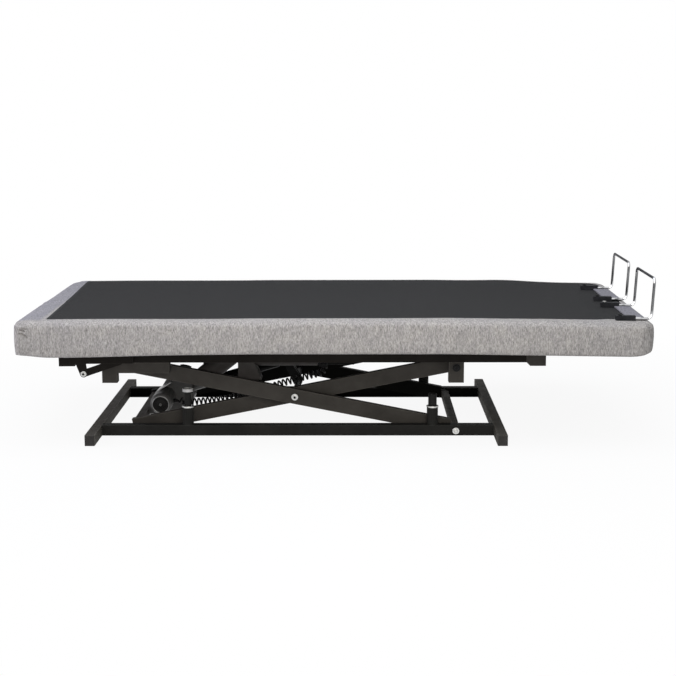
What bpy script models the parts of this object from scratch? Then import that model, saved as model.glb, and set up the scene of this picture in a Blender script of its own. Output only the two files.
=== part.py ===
"""Adjustable high-low bed base: a padded four-section deck carried by a scissor lift.

Metres, +Z up, floor at z = 0. +X runs to the foot end of the bed, -Y is the near long side.
"""

import math

import bmesh
import bpy
from mathutils import Matrix, Vector

# Fits
GAP = 0.0003
RUNNING_CLEARANCE = 0.0004

# Deck
DECK_LENGTH = 2.03
DECK_WIDTH = 0.965
DECK_TOP = 0.416
DECK_THICKNESS = 0.110
DECK_EDGE_RADIUS = 0.016
HEAD_CORNER_RADIUS = 0.024
FOOT_CORNER_RADIUS = 0.055
BACK_HINGE_X = -0.250
SEAT_LENGTH = 0.265
THIGH_LENGTH = 0.345
SEAM_GAP = 0.002
BACK_SWING = math.radians(65)
THIGH_SWING = math.radians(35)

# Floor frame
FOOT_TUBE_WIDTH = 0.032
FOOT_TUBE_HEIGHT = 0.035
FOOT_TUBE_LENGTH = 0.896
FOOT_TUBE_WALL = 0.002
HEAD_FOOT_X = -0.793
FOOT_FOOT_X = 0.5425
RAIL_OUTER_Y = 0.3133
RAIL_DEPTH = 0.035
RAIL_HEIGHT = 0.035
RAIL_WALL = 0.003
RAIL_LIFT = 0.001

# Landing buffers on the floor rails
HEAD_BUFFER_X = -0.490
FOOT_BUFFER_X = 0.323
SLEEVE_RADIUS = 0.0185
SLEEVE_HEIGHT = 0.058
PLUNGER_RADIUS = 0.0142
PLUNGER_SINK = 0.030
PLUNGER_TOP = 0.138
PLUNGER_NECK_RADIUS = 0.0105
CUP_RADIUS = 0.0160
CUP_HEIGHT = 0.018

# Scissor lift
PIVOT_X = 0.400
ROLLER_X = -0.670
UPPER_PIVOT_Z = 0.2305
ARM_HEIGHT = 0.050
ARM_THICKNESS = 0.025
ARM_WALL = 0.0025
ARM_END = 0.018
ARM_TAIL = 0.0125
ARM_NECK = 0.016
ARM_SPACING = 0.005
ARM_PLUG = 0.110
ARM_UNDERCUT = 0.0145
CROSS_TUBE_SIZE = 0.025
CROSS_TUBE_WALL = 0.002
INNER_TUBE_RISE = 0.004
AXLE_RADIUS = 0.007
ROLLER_WIDTH = 0.024
CENTRE_SHAFT_RADIUS = 0.009
CENTRE_BOLT_RADIUS = 0.007
BOLT_HEAD_RADIUS = 0.010
BOLT_HEAD_HEIGHT = 0.006
UPPER_SHAFT_RADIUS = 0.010
LIFT_LOW = math.radians(-4.3)
LIFT_HIGH = math.radians(16.5)

# Carriage
CARRIAGE_HEAD_X = -0.867
CARRIAGE_FOOT_X = 0.694
CARRIAGE_RAIL_HEIGHT = 0.052
CARRIAGE_RAIL_WALL = 0.0025
END_BRACKET_LENGTH = 0.064
END_BRACKET_DROP = 0.012
END_BRACKET_SLANT = 0.012
GUIDE_HEAD_X = -0.723
GUIDE_FOOT_X = -0.547
STOP_LENGTH = 0.050
STOP_DROP = 0.033
PIVOT_BRACKET_LENGTH = 0.050
PIVOT_BRACKET_WALL = 0.004
PIVOT_BRACKET_BOTTOM = 0.180
CARRIAGE_TUBE_SIZE = 0.040
HEAD_TUBE_X = -0.800
SEAT_TUBE_INSET = 0.075
THIGH_TUBE_INSET = 0.060
CONTROL_BOX_SIZE = (0.140, 0.100, 0.052)
CONTROL_BOX_Y = -0.085
HANGER_THICKNESS = 0.012

# Actuators
PIN_RADIUS = 0.006
CRANK_PLATE = 0.008
CRANK_EYE = 0.012
EYE_THICKNESS = 0.021
EYE_LENGTH = 0.028
EYE_WALL = 0.008
EYE_PLAY = 0.0010
BACK_EYE_PLAY = 0.0032
ROD_RADIUS = 0.010
ACTUATOR_TUBE_RADIUS = 0.018
TUBE_SPARE = 0.050
LIFT_TUBE_SPARE = 0.270
MOUTH_GAP = 0.004
CRANK_PAD = 0.100
LIFT_TUBE_ANGLE = math.radians(16)
LIFT_CRANK_LENGTH = 0.085
LIFT_MOTOR_X = -0.599
LIFT_MOTOR_Z = 0.0745
LIFT_MOTOR_RADIUS = 0.037
LIFT_MOTOR_LENGTH = 0.1247
LIFT_MOTOR_RIM = 0.032
LIFT_MOTOR_RIM_DEPTH = 0.008
LIFT_MOTOR_BOSS = 0.016
LIFT_MOTOR_BOSS_HEIGHT = 0.004
LIFT_HOUSING_WIDTH = 0.090
GEAR_FRONT_X = 0.054
GEAR_FRONT_RADIUS = 0.046
GEAR_TOP_X = 0.044
GEAR_TOP_RISE = 0.0305
GEAR_TOP_RADIUS = 0.050
BACK_ACTUATOR_Y = 0.130
BACK_PIN_Z = 0.245
LEG_ACTUATOR_Y = -0.165
LEG_PIN_Z = 0.232
SMALL_MOTOR_RADIUS = 0.026
SMALL_MOTOR_LENGTH = 0.090
SMALL_HOUSING_WIDTH = 0.060
LEG_HOUSING_HEAD_X = -0.330
LEG_HOUSING_LENGTH = 0.045
LEG_HOUSING_FOOT_LENGTH = 0.080
LEG_HOUSING_BOTTOM = 0.166
LEG_MOTOR_X = -0.409
LEG_MOTOR_Z = 0.204
LEG_MOTOR_LEAN = math.radians(38.5)
LEG_MOTOR_RADIUS = 0.034
LEG_MOTOR_LENGTH = 0.150
LEG_MOTOR_RIM = 0.028
LEG_MOTOR_RIM_DEPTH = 0.006
LEG_NECK_LENGTH = 0.020
LEG_NECK_HEIGHT = 0.0205
LEG_NECK_INSET = 0.003

# Back braces under the head end
BRACE_THICKNESS = 0.020
BRACE_INSET = 0.107
BRACE_LENGTH = 0.244
BRACE_MEET = 0.199
BRACE_BOLT = 0.080
BRACE_BOLT_Z = 0.2206
BRACE_BRACKET_LENGTH = 0.029
BRACE_BAR_HEIGHT = 0.024
BRACE_SIDE_BAR_Z = 0.2540
BRACE_STUB_Z = 0.2465
BRACE_STUB_LENGTH = 0.052

# Mattress retainers at the foot end
LOOP_WIRE_RADIUS = 0.0045
LOOP_HEIGHT = 0.128
LOOP_LEAN = math.radians(2)
LOOP_BEND = 0.014
LOOP_LEG_LENGTH = 0.1085
LOOP_INSET = 0.0065
LOOP_LEG_RISE = 0.006
NEAR_LOOP_Y = (-0.425, -0.145)
FAR_LOOP_Y = (-0.005, 0.275)
PLATE_LENGTH = 0.054
PLATE_INSET = 0.021
PLATE_THICKNESS = 0.004
CLAMP_WIDTH = 0.020
CLAMP_LENGTH = 0.062
CLAMP_REACH = 0.045
CLAMP_HEIGHT = 0.015

# Curly cord from the lift motor to the control box
CORD_Y = -0.110
CORD_DIAMETER = 0.006
CURL_RADIUS = 0.0105
CORD_BOX_X = -0.035
CORD_ROUTE = (
    (-0.500, 0.070), (-0.400, 0.080), (-0.300, 0.099), (-0.180, 0.138), (-0.100, 0.161),
    (-0.054, 0.174),
)
CORD_END_RUN = 0.014
CURLS = 36
POINTS_PER_CURL = 9

# Values worked out from the ones above
DECK_BOTTOM = DECK_TOP - DECK_THICKNESS
HEAD_END_X = -DECK_LENGTH / 2
THIGH_HINGE_X = BACK_HINGE_X + SEAT_LENGTH
KNEE_X = THIGH_HINGE_X + THIGH_LENGTH
SEAT_TUBE_X = THIGH_HINGE_X - SEAT_TUBE_INSET
THIGH_TUBE_X = KNEE_X - THIGH_TUBE_INSET
FOOT_END_X = DECK_LENGTH / 2
BRACE_HEAD_X = HEAD_END_X + BRACE_INSET
BRACE_FOOT_X = BRACE_HEAD_X + BRACE_LENGTH
BRACE_MEET_X = BRACE_HEAD_X + BRACE_MEET
BRACE_BOLT_X = BRACE_HEAD_X + BRACE_BOLT
LOOP_BEND_X = FOOT_END_X - LOOP_INSET
LOOP_LEG_START_X = LOOP_BEND_X - LOOP_LEG_LENGTH
PLATE_FOOT_X = FOOT_END_X - PLATE_INSET
PLATE_HEAD_X = PLATE_FOOT_X - PLATE_LENGTH
CLAMP_HEAD_X = PLATE_HEAD_X - CLAMP_REACH
RAIL_INNER_Y = RAIL_OUTER_Y - RAIL_DEPTH
RAIL_TOP = RAIL_LIFT + RAIL_HEIGHT
LOWER_PIVOT_Z = RAIL_LIFT + RAIL_HEIGHT / 2
CENTRE_X = (PIVOT_X + ROLLER_X) / 2
CENTRE_Z = (LOWER_PIVOT_Z + UPPER_PIVOT_Z) / 2
ARM_RUN = PIVOT_X - ROLLER_X
ARM_RISE = UPPER_PIVOT_Z - LOWER_PIVOT_Z
ARM_LENGTH = math.hypot(ARM_RUN, ARM_RISE)
ARM_ANGLE = math.atan2(ARM_RISE, ARM_RUN)
OUTER_ARM_Y = (RAIL_INNER_Y - ARM_SPACING - ARM_THICKNESS, RAIL_INNER_Y - ARM_SPACING)
INNER_ARM_Y = (OUTER_ARM_Y[0] - ARM_SPACING - ARM_THICKNESS, OUTER_ARM_Y[0] - ARM_SPACING)
ROLLER_RADIUS = RAIL_HEIGHT / 2 - RAIL_WALL - GAP
ROLLER_Y = RAIL_INNER_Y + RAIL_WALL
GUIDE_TOP = UPPER_PIVOT_Z + RAIL_HEIGHT / 2
CARRIAGE_BOTTOM = GUIDE_TOP + GAP
CARRIAGE_TOP = CARRIAGE_BOTTOM + CARRIAGE_RAIL_HEIGHT
SLEEVE_TOP = RAIL_TOP + GAP + SLEEVE_HEIGHT
TUBE_TOP = DECK_BOTTOM - GAP
REST_DROP = DECK_BOTTOM - GAP - CARRIAGE_TOP
BACK_DROOP = math.atan2(REST_DROP, BACK_HINGE_X - CARRIAGE_HEAD_X)
FOOT_DROOP = math.atan2(REST_DROP, CARRIAGE_FOOT_X - KNEE_X)
NEAR = -1
FAR = 1
SIDES = (("near", NEAR), ("far", FAR))

parts = bpy.data.collections.new("adjustable_bed_base")
cutters = bpy.data.collections.new("cutters")


def clear_scene():
    for old in list(bpy.data.objects):
        bpy.data.objects.remove(old)
    bpy.context.scene.collection.children.link(parts)
    bpy.context.scene.collection.children.link(cutters)


def principled(name, colour, roughness, metallic):
    material = bpy.data.materials.new(name)
    material.use_nodes = True
    shader = material.node_tree.nodes["Principled BSDF"]
    shader.inputs["Base Color"].default_value = (*colour, 1)
    shader.inputs["Roughness"].default_value = roughness
    shader.inputs["Metallic"].default_value = metallic
    return material


FINISHES = {
    "frame_black": principled("frame_black", (0.030, 0.030, 0.030), 0.45, 0.0),
    "rail_black": principled("rail_black", (0.022, 0.022, 0.023), 0.40, 0.0),
    "zinc": principled("zinc", (0.62, 0.63, 0.64), 0.35, 1.0),
    "chrome": principled("chrome", (0.80, 0.80, 0.80), 0.08, 1.0),
    "black_plastic": principled("black_plastic", (0.018, 0.018, 0.019), 0.50, 0.0),
    "grey_fabric": principled("grey_fabric", (0.38, 0.37, 0.35), 0.90, 0.0),
    "plate_grey": principled("plate_grey", (0.20, 0.20, 0.20), 0.45, 0.0),
    "cord_black": principled("cord_black", (0.012, 0.012, 0.012), 0.45, 0.0),
}

# The empty of each body that moves as one, and the point on its joint.
BODIES = {}
JOINT_POINTS = {}


def add_body(name, carrier, point, droop=0.0):
    """An empty on the joint of a body that moves as one."""
    empty = bpy.data.objects.new(name + "_joint", None)
    empty.empty_display_size = 0.03
    parts.objects.link(empty)
    JOINT_POINTS[name] = Vector(point)
    if carrier:
        empty.parent = BODIES[carrier]
        empty.location = JOINT_POINTS[name] - JOINT_POINTS[carrier]
    else:
        empty.location = JOINT_POINTS[name]
    empty.rotation_euler = (0, droop, 0)
    BODIES[name] = empty


def shape(name, data):
    obj = bpy.data.objects.new(name, data)
    parts.objects.link(obj)
    return obj


def shape_of_bmesh(name, bm):
    mesh = bpy.data.meshes.new(name)
    bmesh.ops.recalc_face_normals(bm, faces=bm.faces[:])
    bm.to_mesh(mesh)
    bm.free()
    return shape(name, mesh)


def add_part(obj, body, finish, smooth=False):
    """Hangs a finished shape, with its cutters, on the empty of its body."""
    to_joint = Matrix.Translation(-JOINT_POINTS[body])
    for piece in (obj, *obj.children_recursive):
        piece.data.transform(to_joint)
    obj.parent = BODIES[body]
    obj.data.materials.clear()
    obj.data.materials.append(FINISHES[finish])
    if smooth and obj.type == "MESH":
        obj.data.shade_smooth()
        obj.data.set_sharp_from_angle(angle=math.radians(40))
    return obj


def combine(obj, other, operation):
    modifier = obj.modifiers.new(operation.lower(), "BOOLEAN")
    modifier.operation = operation
    modifier.solver = "EXACT"
    modifier.object = other
    other.parent = obj
    parts.objects.unlink(other)
    cutters.objects.link(other)
    other.hide_render = True
    other.display_type = "WIRE"
    return obj


def cut(obj, other):
    return combine(obj, other, "DIFFERENCE")


def join(obj, other):
    return combine(obj, other, "UNION")


def block(name, low, high):
    size = Vector(high) - Vector(low)
    middle = (Vector(high) + Vector(low)) / 2
    bm = bmesh.new()
    place = Matrix.Translation(middle) @ Matrix.Diagonal((*size, 1))
    bmesh.ops.create_cube(bm, size=1, matrix=place)
    return shape_of_bmesh(name, bm)


def round_bar(name, start, end, radius, sides=16):
    axis = Vector(end) - Vector(start)
    turn = Vector((0, 0, 1)).rotation_difference(axis).to_matrix().to_4x4()
    place = Matrix.Translation((Vector(start) + Vector(end)) / 2) @ turn
    bm = bmesh.new()
    bmesh.ops.create_cone(
        bm, cap_ends=True, segments=sides, radius1=radius, radius2=radius,
        depth=axis.length, matrix=place,
    )
    return shape_of_bmesh(name, bm)


def turned(name, start, axis, profile, closed=False, steps=16):
    """A profile of (distance along the axis, radius) spun about the axis."""
    axis = Vector(axis).normalized()
    across = axis.orthogonal().normalized()
    bm = bmesh.new()
    ring = [bm.verts.new(Vector(start) + axis * along + across * radius) for along, radius in profile]
    pairs = list(zip(ring, ring[1:]))
    if closed:
        pairs.append((ring[-1], ring[0]))
    edges = [bm.edges.new(pair) for pair in pairs]
    bmesh.ops.spin(
        bm, geom=ring + edges, cent=Vector(start), axis=axis, angle=2 * math.pi,
        steps=steps, use_merge=True,
    )
    bmesh.ops.remove_doubles(bm, verts=bm.verts[:], dist=1e-6)
    return shape_of_bmesh(name, bm)


def mesh_of_curve(name, curve):
    """The mesh of a curve, with its caps welded on."""
    guide = bpy.data.objects.new(name, curve)
    bpy.context.scene.collection.objects.link(guide)
    bpy.context.view_layer.update()
    depsgraph = bpy.context.evaluated_depsgraph_get()
    mesh = bpy.data.meshes.new_from_object(guide.evaluated_get(depsgraph))
    bpy.data.objects.remove(guide)
    bm = bmesh.new()
    bm.from_mesh(mesh)
    bmesh.ops.remove_doubles(bm, verts=bm.verts[:], dist=1e-6)
    bmesh.ops.recalc_face_normals(bm, faces=bm.faces[:])
    bm.to_mesh(mesh)
    bm.free()
    mesh.name = name
    return mesh


def flat_curve(name, points, half_thickness):
    curve = bpy.data.curves.new(name, "CURVE")
    curve.dimensions = "2D"
    curve.fill_mode = "BOTH"
    curve.extrude = half_thickness
    spline = curve.splines.new("POLY")
    spline.points.add(len(points) - 1)
    for spot, (across, up) in zip(spline.points, points):
        spot.co = (across, up, 0, 1)
    spline.use_cyclic_u = True
    return curve


def side_plate(name, points, y_span):
    """A flat outline of (x, z) points, as thick as its span in y."""
    low, high = sorted(y_span)
    mesh = mesh_of_curve(name, flat_curve(name, points, (high - low) / 2))
    stand_up = Matrix.Rotation(math.radians(90), 4, "X")
    mesh.transform(Matrix.Translation((0, (low + high) / 2, 0)) @ stand_up)
    return shape(name, mesh)


def arc(centre, radius, start, end, steps):
    """Points on a circle from one angle to another, both ends included."""
    angles = [start + (end - start) * step / steps for step in range(steps + 1)]
    return [(centre[0] + radius * math.cos(a), centre[1] + radius * math.sin(a)) for a in angles]


def circle(centre, radius, steps=14):
    return arc(centre, radius, 0, 2 * math.pi * (steps - 1) / steps, steps - 1)


def hull(points):
    """The convex outline round a set of points."""
    def half(ordered):
        chain = []
        for point in ordered:
            while len(chain) > 1 and turn(chain[-2], chain[-1], point) <= 0:
                chain.pop()
            chain.append(point)
        return chain[:-1]

    def turn(a, b, c):
        return (b[0] - a[0]) * (c[1] - a[1]) - (b[1] - a[1]) * (c[0] - a[0])

    ordered = sorted(set(points))
    return half(ordered) + half(ordered[::-1])


def filleted(points, radius, steps=4):
    """An open path in space with an arc at each inner corner."""
    path = [Vector(points[0])]
    for before, corner, after in zip(points, points[1:], points[2:]):
        corner = Vector(corner)
        back = (Vector(before) - corner).normalized()
        ahead = (Vector(after) - corner).normalized()
        half = back.angle(ahead) / 2
        centre = corner + (back + ahead).normalized() * (radius / math.sin(half))
        first = corner + back * (radius / math.tan(half)) - centre
        last = corner + ahead * (radius / math.tan(half)) - centre
        sweep = math.pi - 2 * half
        for step in range(steps + 1):
            share = step / steps
            spoke = first * math.sin((1 - share) * sweep) + last * math.sin(share * sweep)
            path.append(centre + spoke / math.sin(sweep))
    path.append(Vector(points[-1]))
    return path


def wire(name, points, radius, resolution):
    curve = bpy.data.curves.new(name, "CURVE")
    curve.dimensions = "3D"
    curve.bevel_depth = radius
    curve.bevel_resolution = resolution
    curve.use_fill_caps = True
    spline = curve.splines.new("POLY")
    spline.points.add(len(points) - 1)
    for spot, point in zip(spline.points, points):
        spot.co = (*point, 1)
    return shape(name, curve)


def y_span(side, inner, outer):
    return tuple(sorted((side * inner, side * outer)))


def cross_bore(name, x, z, radius, y_low, y_high):
    return round_bar(name, (x, y_low, z), (x, y_high, z), radius)


def square_tube(name, low, high, wall, axis):
    """A box with a square bore right through it along one axis."""
    tube = block(name, low, high)
    inside_low = [value + wall for value in low]
    inside_high = [value - wall for value in high]
    inside_low[axis] = low[axis] - wall
    inside_high[axis] = high[axis] + wall
    return cut(tube, block(name + "_bore", inside_low, inside_high))


class Yoke:
    """A crank pin that swings evenly about square to a rod, and the slotted eye that pushes it."""

    def __init__(self, pivot, along, out, length, rest, widest, play, spare=TUBE_SPARE):
        self.pivot = Vector((pivot[0], 0, pivot[1]))
        self.along = Vector((along[0], 0, along[1]))
        self.out = Vector((out[0], 0, out[1]))
        self.length = length
        self.rest = rest
        self.widest = widest
        self.play = play
        self.spare = spare
        self.line = length * (1 + math.cos(widest)) / 2
        self.slot = length * (1 - math.cos(widest)) / 2 + PIN_RADIUS + play
        self.pin_along = length * math.sin(rest)
        self.pull = length * (math.sin(-widest) - math.sin(rest))
        self.push = length * (math.sin(widest) - math.sin(rest))

    def at(self, along, out):
        spot = self.pivot + self.along * along + self.out * out
        return (spot.x, spot.z)

    def on_line(self, along, y):
        x, z = self.at(along, self.line)
        return (x, y, z)

    def pin(self, extra=0.0):
        angle = self.rest + extra
        return self.at(self.length * math.sin(angle), self.length * math.cos(angle))

    def frame(self, along_low, along_high, out_low, out_high):
        corners = (
            (along_low, out_low), (along_high, out_low), (along_high, out_high), (along_low, out_high),
        )
        return [self.at(*corner) for corner in corners]

    def mouth(self):
        """Where the tube ends that the rod slides out of."""
        return self.pin_along + self.pull - EYE_LENGTH / 2 - MOUTH_GAP

    def tube_back(self):
        return self.mouth() - (self.push - self.pull) - self.spare


SCISSOR_MIDDLE = LIFT_LOW + LIFT_HIGH
LIFT_YOKE = Yoke(
    pivot=(CENTRE_X, CENTRE_Z),
    along=(math.cos(LIFT_TUBE_ANGLE), math.sin(LIFT_TUBE_ANGLE)),
    out=(-math.sin(LIFT_TUBE_ANGLE), math.cos(LIFT_TUBE_ANGLE)),
    length=LIFT_CRANK_LENGTH,
    rest=-SCISSOR_MIDDLE,
    widest=LIFT_HIGH - LIFT_LOW,
    play=EYE_PLAY,
    spare=LIFT_TUBE_SPARE,
)
BACK_YOKE = Yoke(
    pivot=(BACK_HINGE_X, DECK_TOP),
    along=(-1, 0),
    out=(0, -1),
    length=(DECK_TOP - BACK_PIN_Z) / math.cos(BACK_SWING / 2),
    rest=-BACK_SWING / 2,
    widest=BACK_SWING / 2,
    play=BACK_EYE_PLAY,
)
LEG_YOKE = Yoke(
    pivot=(THIGH_HINGE_X, DECK_TOP),
    along=(1, 0),
    out=(0, -1),
    length=(DECK_TOP - LEG_PIN_Z) / math.cos(THIGH_SWING / 2),
    rest=-THIGH_SWING / 2,
    widest=THIGH_SWING / 2,
    play=EYE_PLAY,
)


def add_bodies():
    add_body("base", None, (0, 0, 0))
    add_body("outer_arms", "base", (PIVOT_X, 0, LOWER_PIVOT_Z))
    add_body("inner_arms", "outer_arms", (CENTRE_X, 0, CENTRE_Z))
    add_body("carriage", "inner_arms", (PIVOT_X, 0, UPPER_PIVOT_Z))
    add_body("lift_rod", "inner_arms", LIFT_YOKE.on_line(LIFT_YOKE.pin_along, 0))
    add_body("back", "carriage", (BACK_HINGE_X, 0, DECK_TOP), -BACK_DROOP)
    add_body("back_rod", "carriage", BACK_YOKE.on_line(BACK_YOKE.pin_along, BACK_ACTUATOR_Y))
    add_body("thigh", "carriage", (THIGH_HINGE_X, 0, DECK_TOP))
    add_body("leg_rod", "carriage", LEG_YOKE.on_line(LEG_YOKE.pin_along, LEG_ACTUATOR_Y))
    add_body("foot", "thigh", (KNEE_X, 0, DECK_BOTTOM), FOOT_DROOP)
    for word, (first, last) in (("near", NEAR_LOOP_Y), ("far", FAR_LOOP_Y)):
        add_body("loop_" + word, "foot", (LOOP_BEND_X, (first + last) / 2, DECK_TOP))
    for word, side in SIDES:
        y = side * (ROLLER_Y + ROLLER_WIDTH / 2)
        add_body("upper_roller_" + word, "outer_arms", (ROLLER_X, y, UPPER_PIVOT_Z))
        add_body("lower_roller_" + word, "inner_arms", (ROLLER_X, y, LOWER_PIVOT_Z))
        for end, x in (("head", HEAD_BUFFER_X), ("foot", FOOT_BUFFER_X)):
            y = side * (RAIL_OUTER_Y - RAIL_DEPTH / 2)
            add_body(f"plunger_{word}_{end}", "base", (x, y, SLEEVE_TOP))


def add_floor_frame():
    for end, x in (("head", HEAD_FOOT_X), ("foot", FOOT_FOOT_X)):
        low = (x - FOOT_TUBE_WIDTH / 2, -FOOT_TUBE_LENGTH / 2, 0)
        high = (x + FOOT_TUBE_WIDTH / 2, FOOT_TUBE_LENGTH / 2, FOOT_TUBE_HEIGHT)
        add_part(square_tube("base_foot_" + end, low, high, FOOT_TUBE_WALL, 1), "base", "frame_black")
    rail_head = HEAD_FOOT_X + FOOT_TUBE_WIDTH / 2 + GAP
    rail_foot = FOOT_FOOT_X - FOOT_TUBE_WIDTH / 2 - GAP
    for word, side in SIDES:
        y = y_span(side, RAIL_INNER_Y, RAIL_OUTER_Y)
        rail = block("base_rail_" + word, (rail_head, y[0], RAIL_LIFT), (rail_foot, y[1], RAIL_TOP))
        y = y_span(side, RAIL_INNER_Y - RAIL_WALL, RAIL_OUTER_Y - RAIL_WALL)
        low = (rail_head - RAIL_WALL, y[0], RAIL_LIFT + RAIL_WALL)
        high = (rail_foot + RAIL_WALL, y[1], RAIL_TOP - RAIL_WALL)
        cut(rail, block("rail_channel", low, high))
        y = y_span(side, RAIL_OUTER_Y - 2 * RAIL_WALL, RAIL_OUTER_Y + RAIL_WALL)
        bore = AXLE_RADIUS + RUNNING_CLEARANCE
        cut(rail, cross_bore("rail_bolt_hole", PIVOT_X, LOWER_PIVOT_Z, bore, *y))
        add_part(rail, "base", "rail_black")
        add_pivot_bolt(word, side)


def add_pivot_bolt(word, side):
    """The bolt on which an outer arm turns in the floor rail."""
    head = RAIL_OUTER_Y + GAP
    tip = OUTER_ARM_Y[0] + ARM_WALL
    profile = (
        (0, 0), (0, BOLT_HEAD_RADIUS), (BOLT_HEAD_HEIGHT, BOLT_HEAD_RADIUS),
        (BOLT_HEAD_HEIGHT, AXLE_RADIUS), (BOLT_HEAD_HEIGHT + head - tip, AXLE_RADIUS),
        (BOLT_HEAD_HEIGHT + head - tip, 0),
    )
    start = (PIVOT_X, side * (head + BOLT_HEAD_HEIGHT), LOWER_PIVOT_Z)
    bolt = turned("lower_pivot_bolt_" + word, start, (0, -side, 0), profile)
    add_part(bolt, "base", "zinc", smooth=True)


def add_landing_buffers():
    bore = PLUNGER_RADIUS + RUNNING_CLEARANCE
    foot = RAIL_TOP + GAP
    for word, side in SIDES:
        y = side * (RAIL_OUTER_Y - RAIL_DEPTH / 2)
        for end, x in (("head", HEAD_BUFFER_X), ("foot", FOOT_BUFFER_X)):
            ring = ((0, bore), (0, SLEEVE_RADIUS), (SLEEVE_HEIGHT, SLEEVE_RADIUS), (SLEEVE_HEIGHT, bore))
            sleeve = turned(f"buffer_sleeve_{word}_{end}", (x, y, foot), (0, 0, 1), ring, closed=True)
            add_part(sleeve, "base", "frame_black", smooth=True)
            bottom = SLEEVE_TOP - PLUNGER_SINK
            reach = PLUNGER_TOP - bottom
            profile = [(0, 0), (0, PLUNGER_RADIUS)]
            if end == "head":
                profile.append((PLUNGER_SINK, PLUNGER_RADIUS))
                profile.append((PLUNGER_SINK, PLUNGER_NECK_RADIUS))
                profile.append((reach, PLUNGER_NECK_RADIUS))
                profile.append((reach + CUP_HEIGHT / 2, CUP_RADIUS))
                reach += CUP_HEIGHT
                profile.append((reach, CUP_RADIUS))
            else:
                profile.append((reach, PLUNGER_RADIUS))
            profile.append((reach, 0))
            plunger = turned(f"buffer_plunger_{word}_{end}", (x, y, bottom), (0, 0, 1), profile)
            add_part(plunger, f"plunger_{word}_{end}", "frame_black", smooth=True)


def arm_outline(lower, heading, necked):
    """Side view of an arm from its lower pivot, with the under side cut away to clear the floor.
    A necked arm is no higher at its lower end than the cross tube there."""
    along = Vector((heading * math.cos(ARM_ANGLE), math.sin(ARM_ANGLE)))
    up = Vector((-heading * math.sin(ARM_ANGLE), math.cos(ARM_ANGLE)))
    lowest = ARM_ANGLE + LIFT_LOW
    half = ARM_HEIGHT / 2
    end = ARM_LENGTH + ARM_END
    meets = (half * math.cos(lowest) - ARM_UNDERCUT) / math.sin(lowest)
    nose = (ARM_TAIL * math.sin(lowest) - ARM_UNDERCUT) / math.cos(lowest)
    body = [(-ARM_TAIL, nose), (meets, -half), (end, -half), (end, half)]
    if necked:
        neck = CROSS_TUBE_SIZE / 2
        body += [(ARM_NECK, half), (ARM_NECK, neck), (-ARM_TAIL, neck)]
    else:
        body.append((-ARM_TAIL, half))
    inside = half - ARM_WALL
    hollow = (
        (ARM_PLUG, -inside), (end + ARM_WALL, -inside), (end + ARM_WALL, inside), (ARM_PLUG, inside),
    )
    start = Vector(lower)
    return [[tuple(start + along * s + up * n) for s, n in outline] for outline in (body, hollow)]


def make_arm(name, side, lower, heading, span, necked):
    body, hollow = arm_outline(lower, heading, necked)
    arm = side_plate(name, body, y_span(side, *span))
    bore = side_plate(name + "_bore", hollow, y_span(side, span[0] + ARM_WALL, span[1] - ARM_WALL))
    return cut(arm, bore)


def add_stub_axle(arm, side, x, z, span):
    """The axle of a roller, fixed through the arm's two walls."""
    y = y_span(side, span[0] + ARM_WALL / 2, ROLLER_Y + ROLLER_WIDTH + RUNNING_CLEARANCE)
    join(arm, cross_bore(arm.name + "_axle", x, z, AXLE_RADIUS, *y))


def bore_arm(arm, side, x, z, radius, span):
    y = y_span(side, span[0] - ARM_WALL, span[1] + ARM_WALL)
    cut(arm, cross_bore(arm.name + "_hole", x, z, radius + RUNNING_CLEARANCE, *y))


def add_roller(name, side, x, z):
    bore = AXLE_RADIUS + RUNNING_CLEARANCE
    ring = ((0, bore), (0, ROLLER_RADIUS), (ROLLER_WIDTH, ROLLER_RADIUS), (ROLLER_WIDTH, bore))
    roller = turned(name, (x, side * ROLLER_Y, z), (0, side, 0), ring, closed=True)
    add_part(roller, name, "black_plastic", smooth=True)


def add_scissor():
    for word, side in SIDES:
        arm = make_arm("outer_arm_" + word, side, (PIVOT_X, LOWER_PIVOT_Z), -1, OUTER_ARM_Y, True)
        add_stub_axle(arm, side, ROLLER_X, UPPER_PIVOT_Z, OUTER_ARM_Y)
        bore_arm(arm, side, PIVOT_X, LOWER_PIVOT_Z, AXLE_RADIUS, OUTER_ARM_Y)
        bore_arm(arm, side, CENTRE_X, CENTRE_Z, CENTRE_BOLT_RADIUS, OUTER_ARM_Y)
        add_part(arm, "outer_arms", "frame_black")
        add_roller("upper_roller_" + word, side, ROLLER_X, UPPER_PIVOT_Z)
        arm = make_arm("inner_arm_" + word, side, (ROLLER_X, LOWER_PIVOT_Z), 1, INNER_ARM_Y, False)
        add_stub_axle(arm, side, ROLLER_X, LOWER_PIVOT_Z, INNER_ARM_Y)
        bore_arm(arm, side, CENTRE_X, CENTRE_Z, CENTRE_SHAFT_RADIUS, INNER_ARM_Y)
        bore_arm(arm, side, PIVOT_X, UPPER_PIVOT_Z, UPPER_SHAFT_RADIUS, INNER_ARM_Y)
        add_part(arm, "inner_arms", "frame_black")
        add_roller("lower_roller_" + word, side, ROLLER_X, LOWER_PIVOT_Z)
    half = CROSS_TUBE_SIZE / 2
    reach = OUTER_ARM_Y[0] - GAP
    low = (PIVOT_X - half, -reach, LOWER_PIVOT_Z - half)
    high = (PIVOT_X + half, reach, LOWER_PIVOT_Z + half)
    tube = square_tube("outer_arm_cross_tube", low, high, CROSS_TUBE_WALL, 1)
    add_part(tube, "outer_arms", "frame_black")
    reach = INNER_ARM_Y[0] - GAP
    z = LOWER_PIVOT_Z + INNER_TUBE_RISE
    low = (ROLLER_X - half, -reach, z - half)
    high = (ROLLER_X + half, reach, z + half)
    tube = square_tube("inner_arm_cross_tube", low, high, CROSS_TUBE_WALL, 1)
    add_part(tube, "inner_arms", "frame_black")
    add_centre_shaft()


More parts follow.
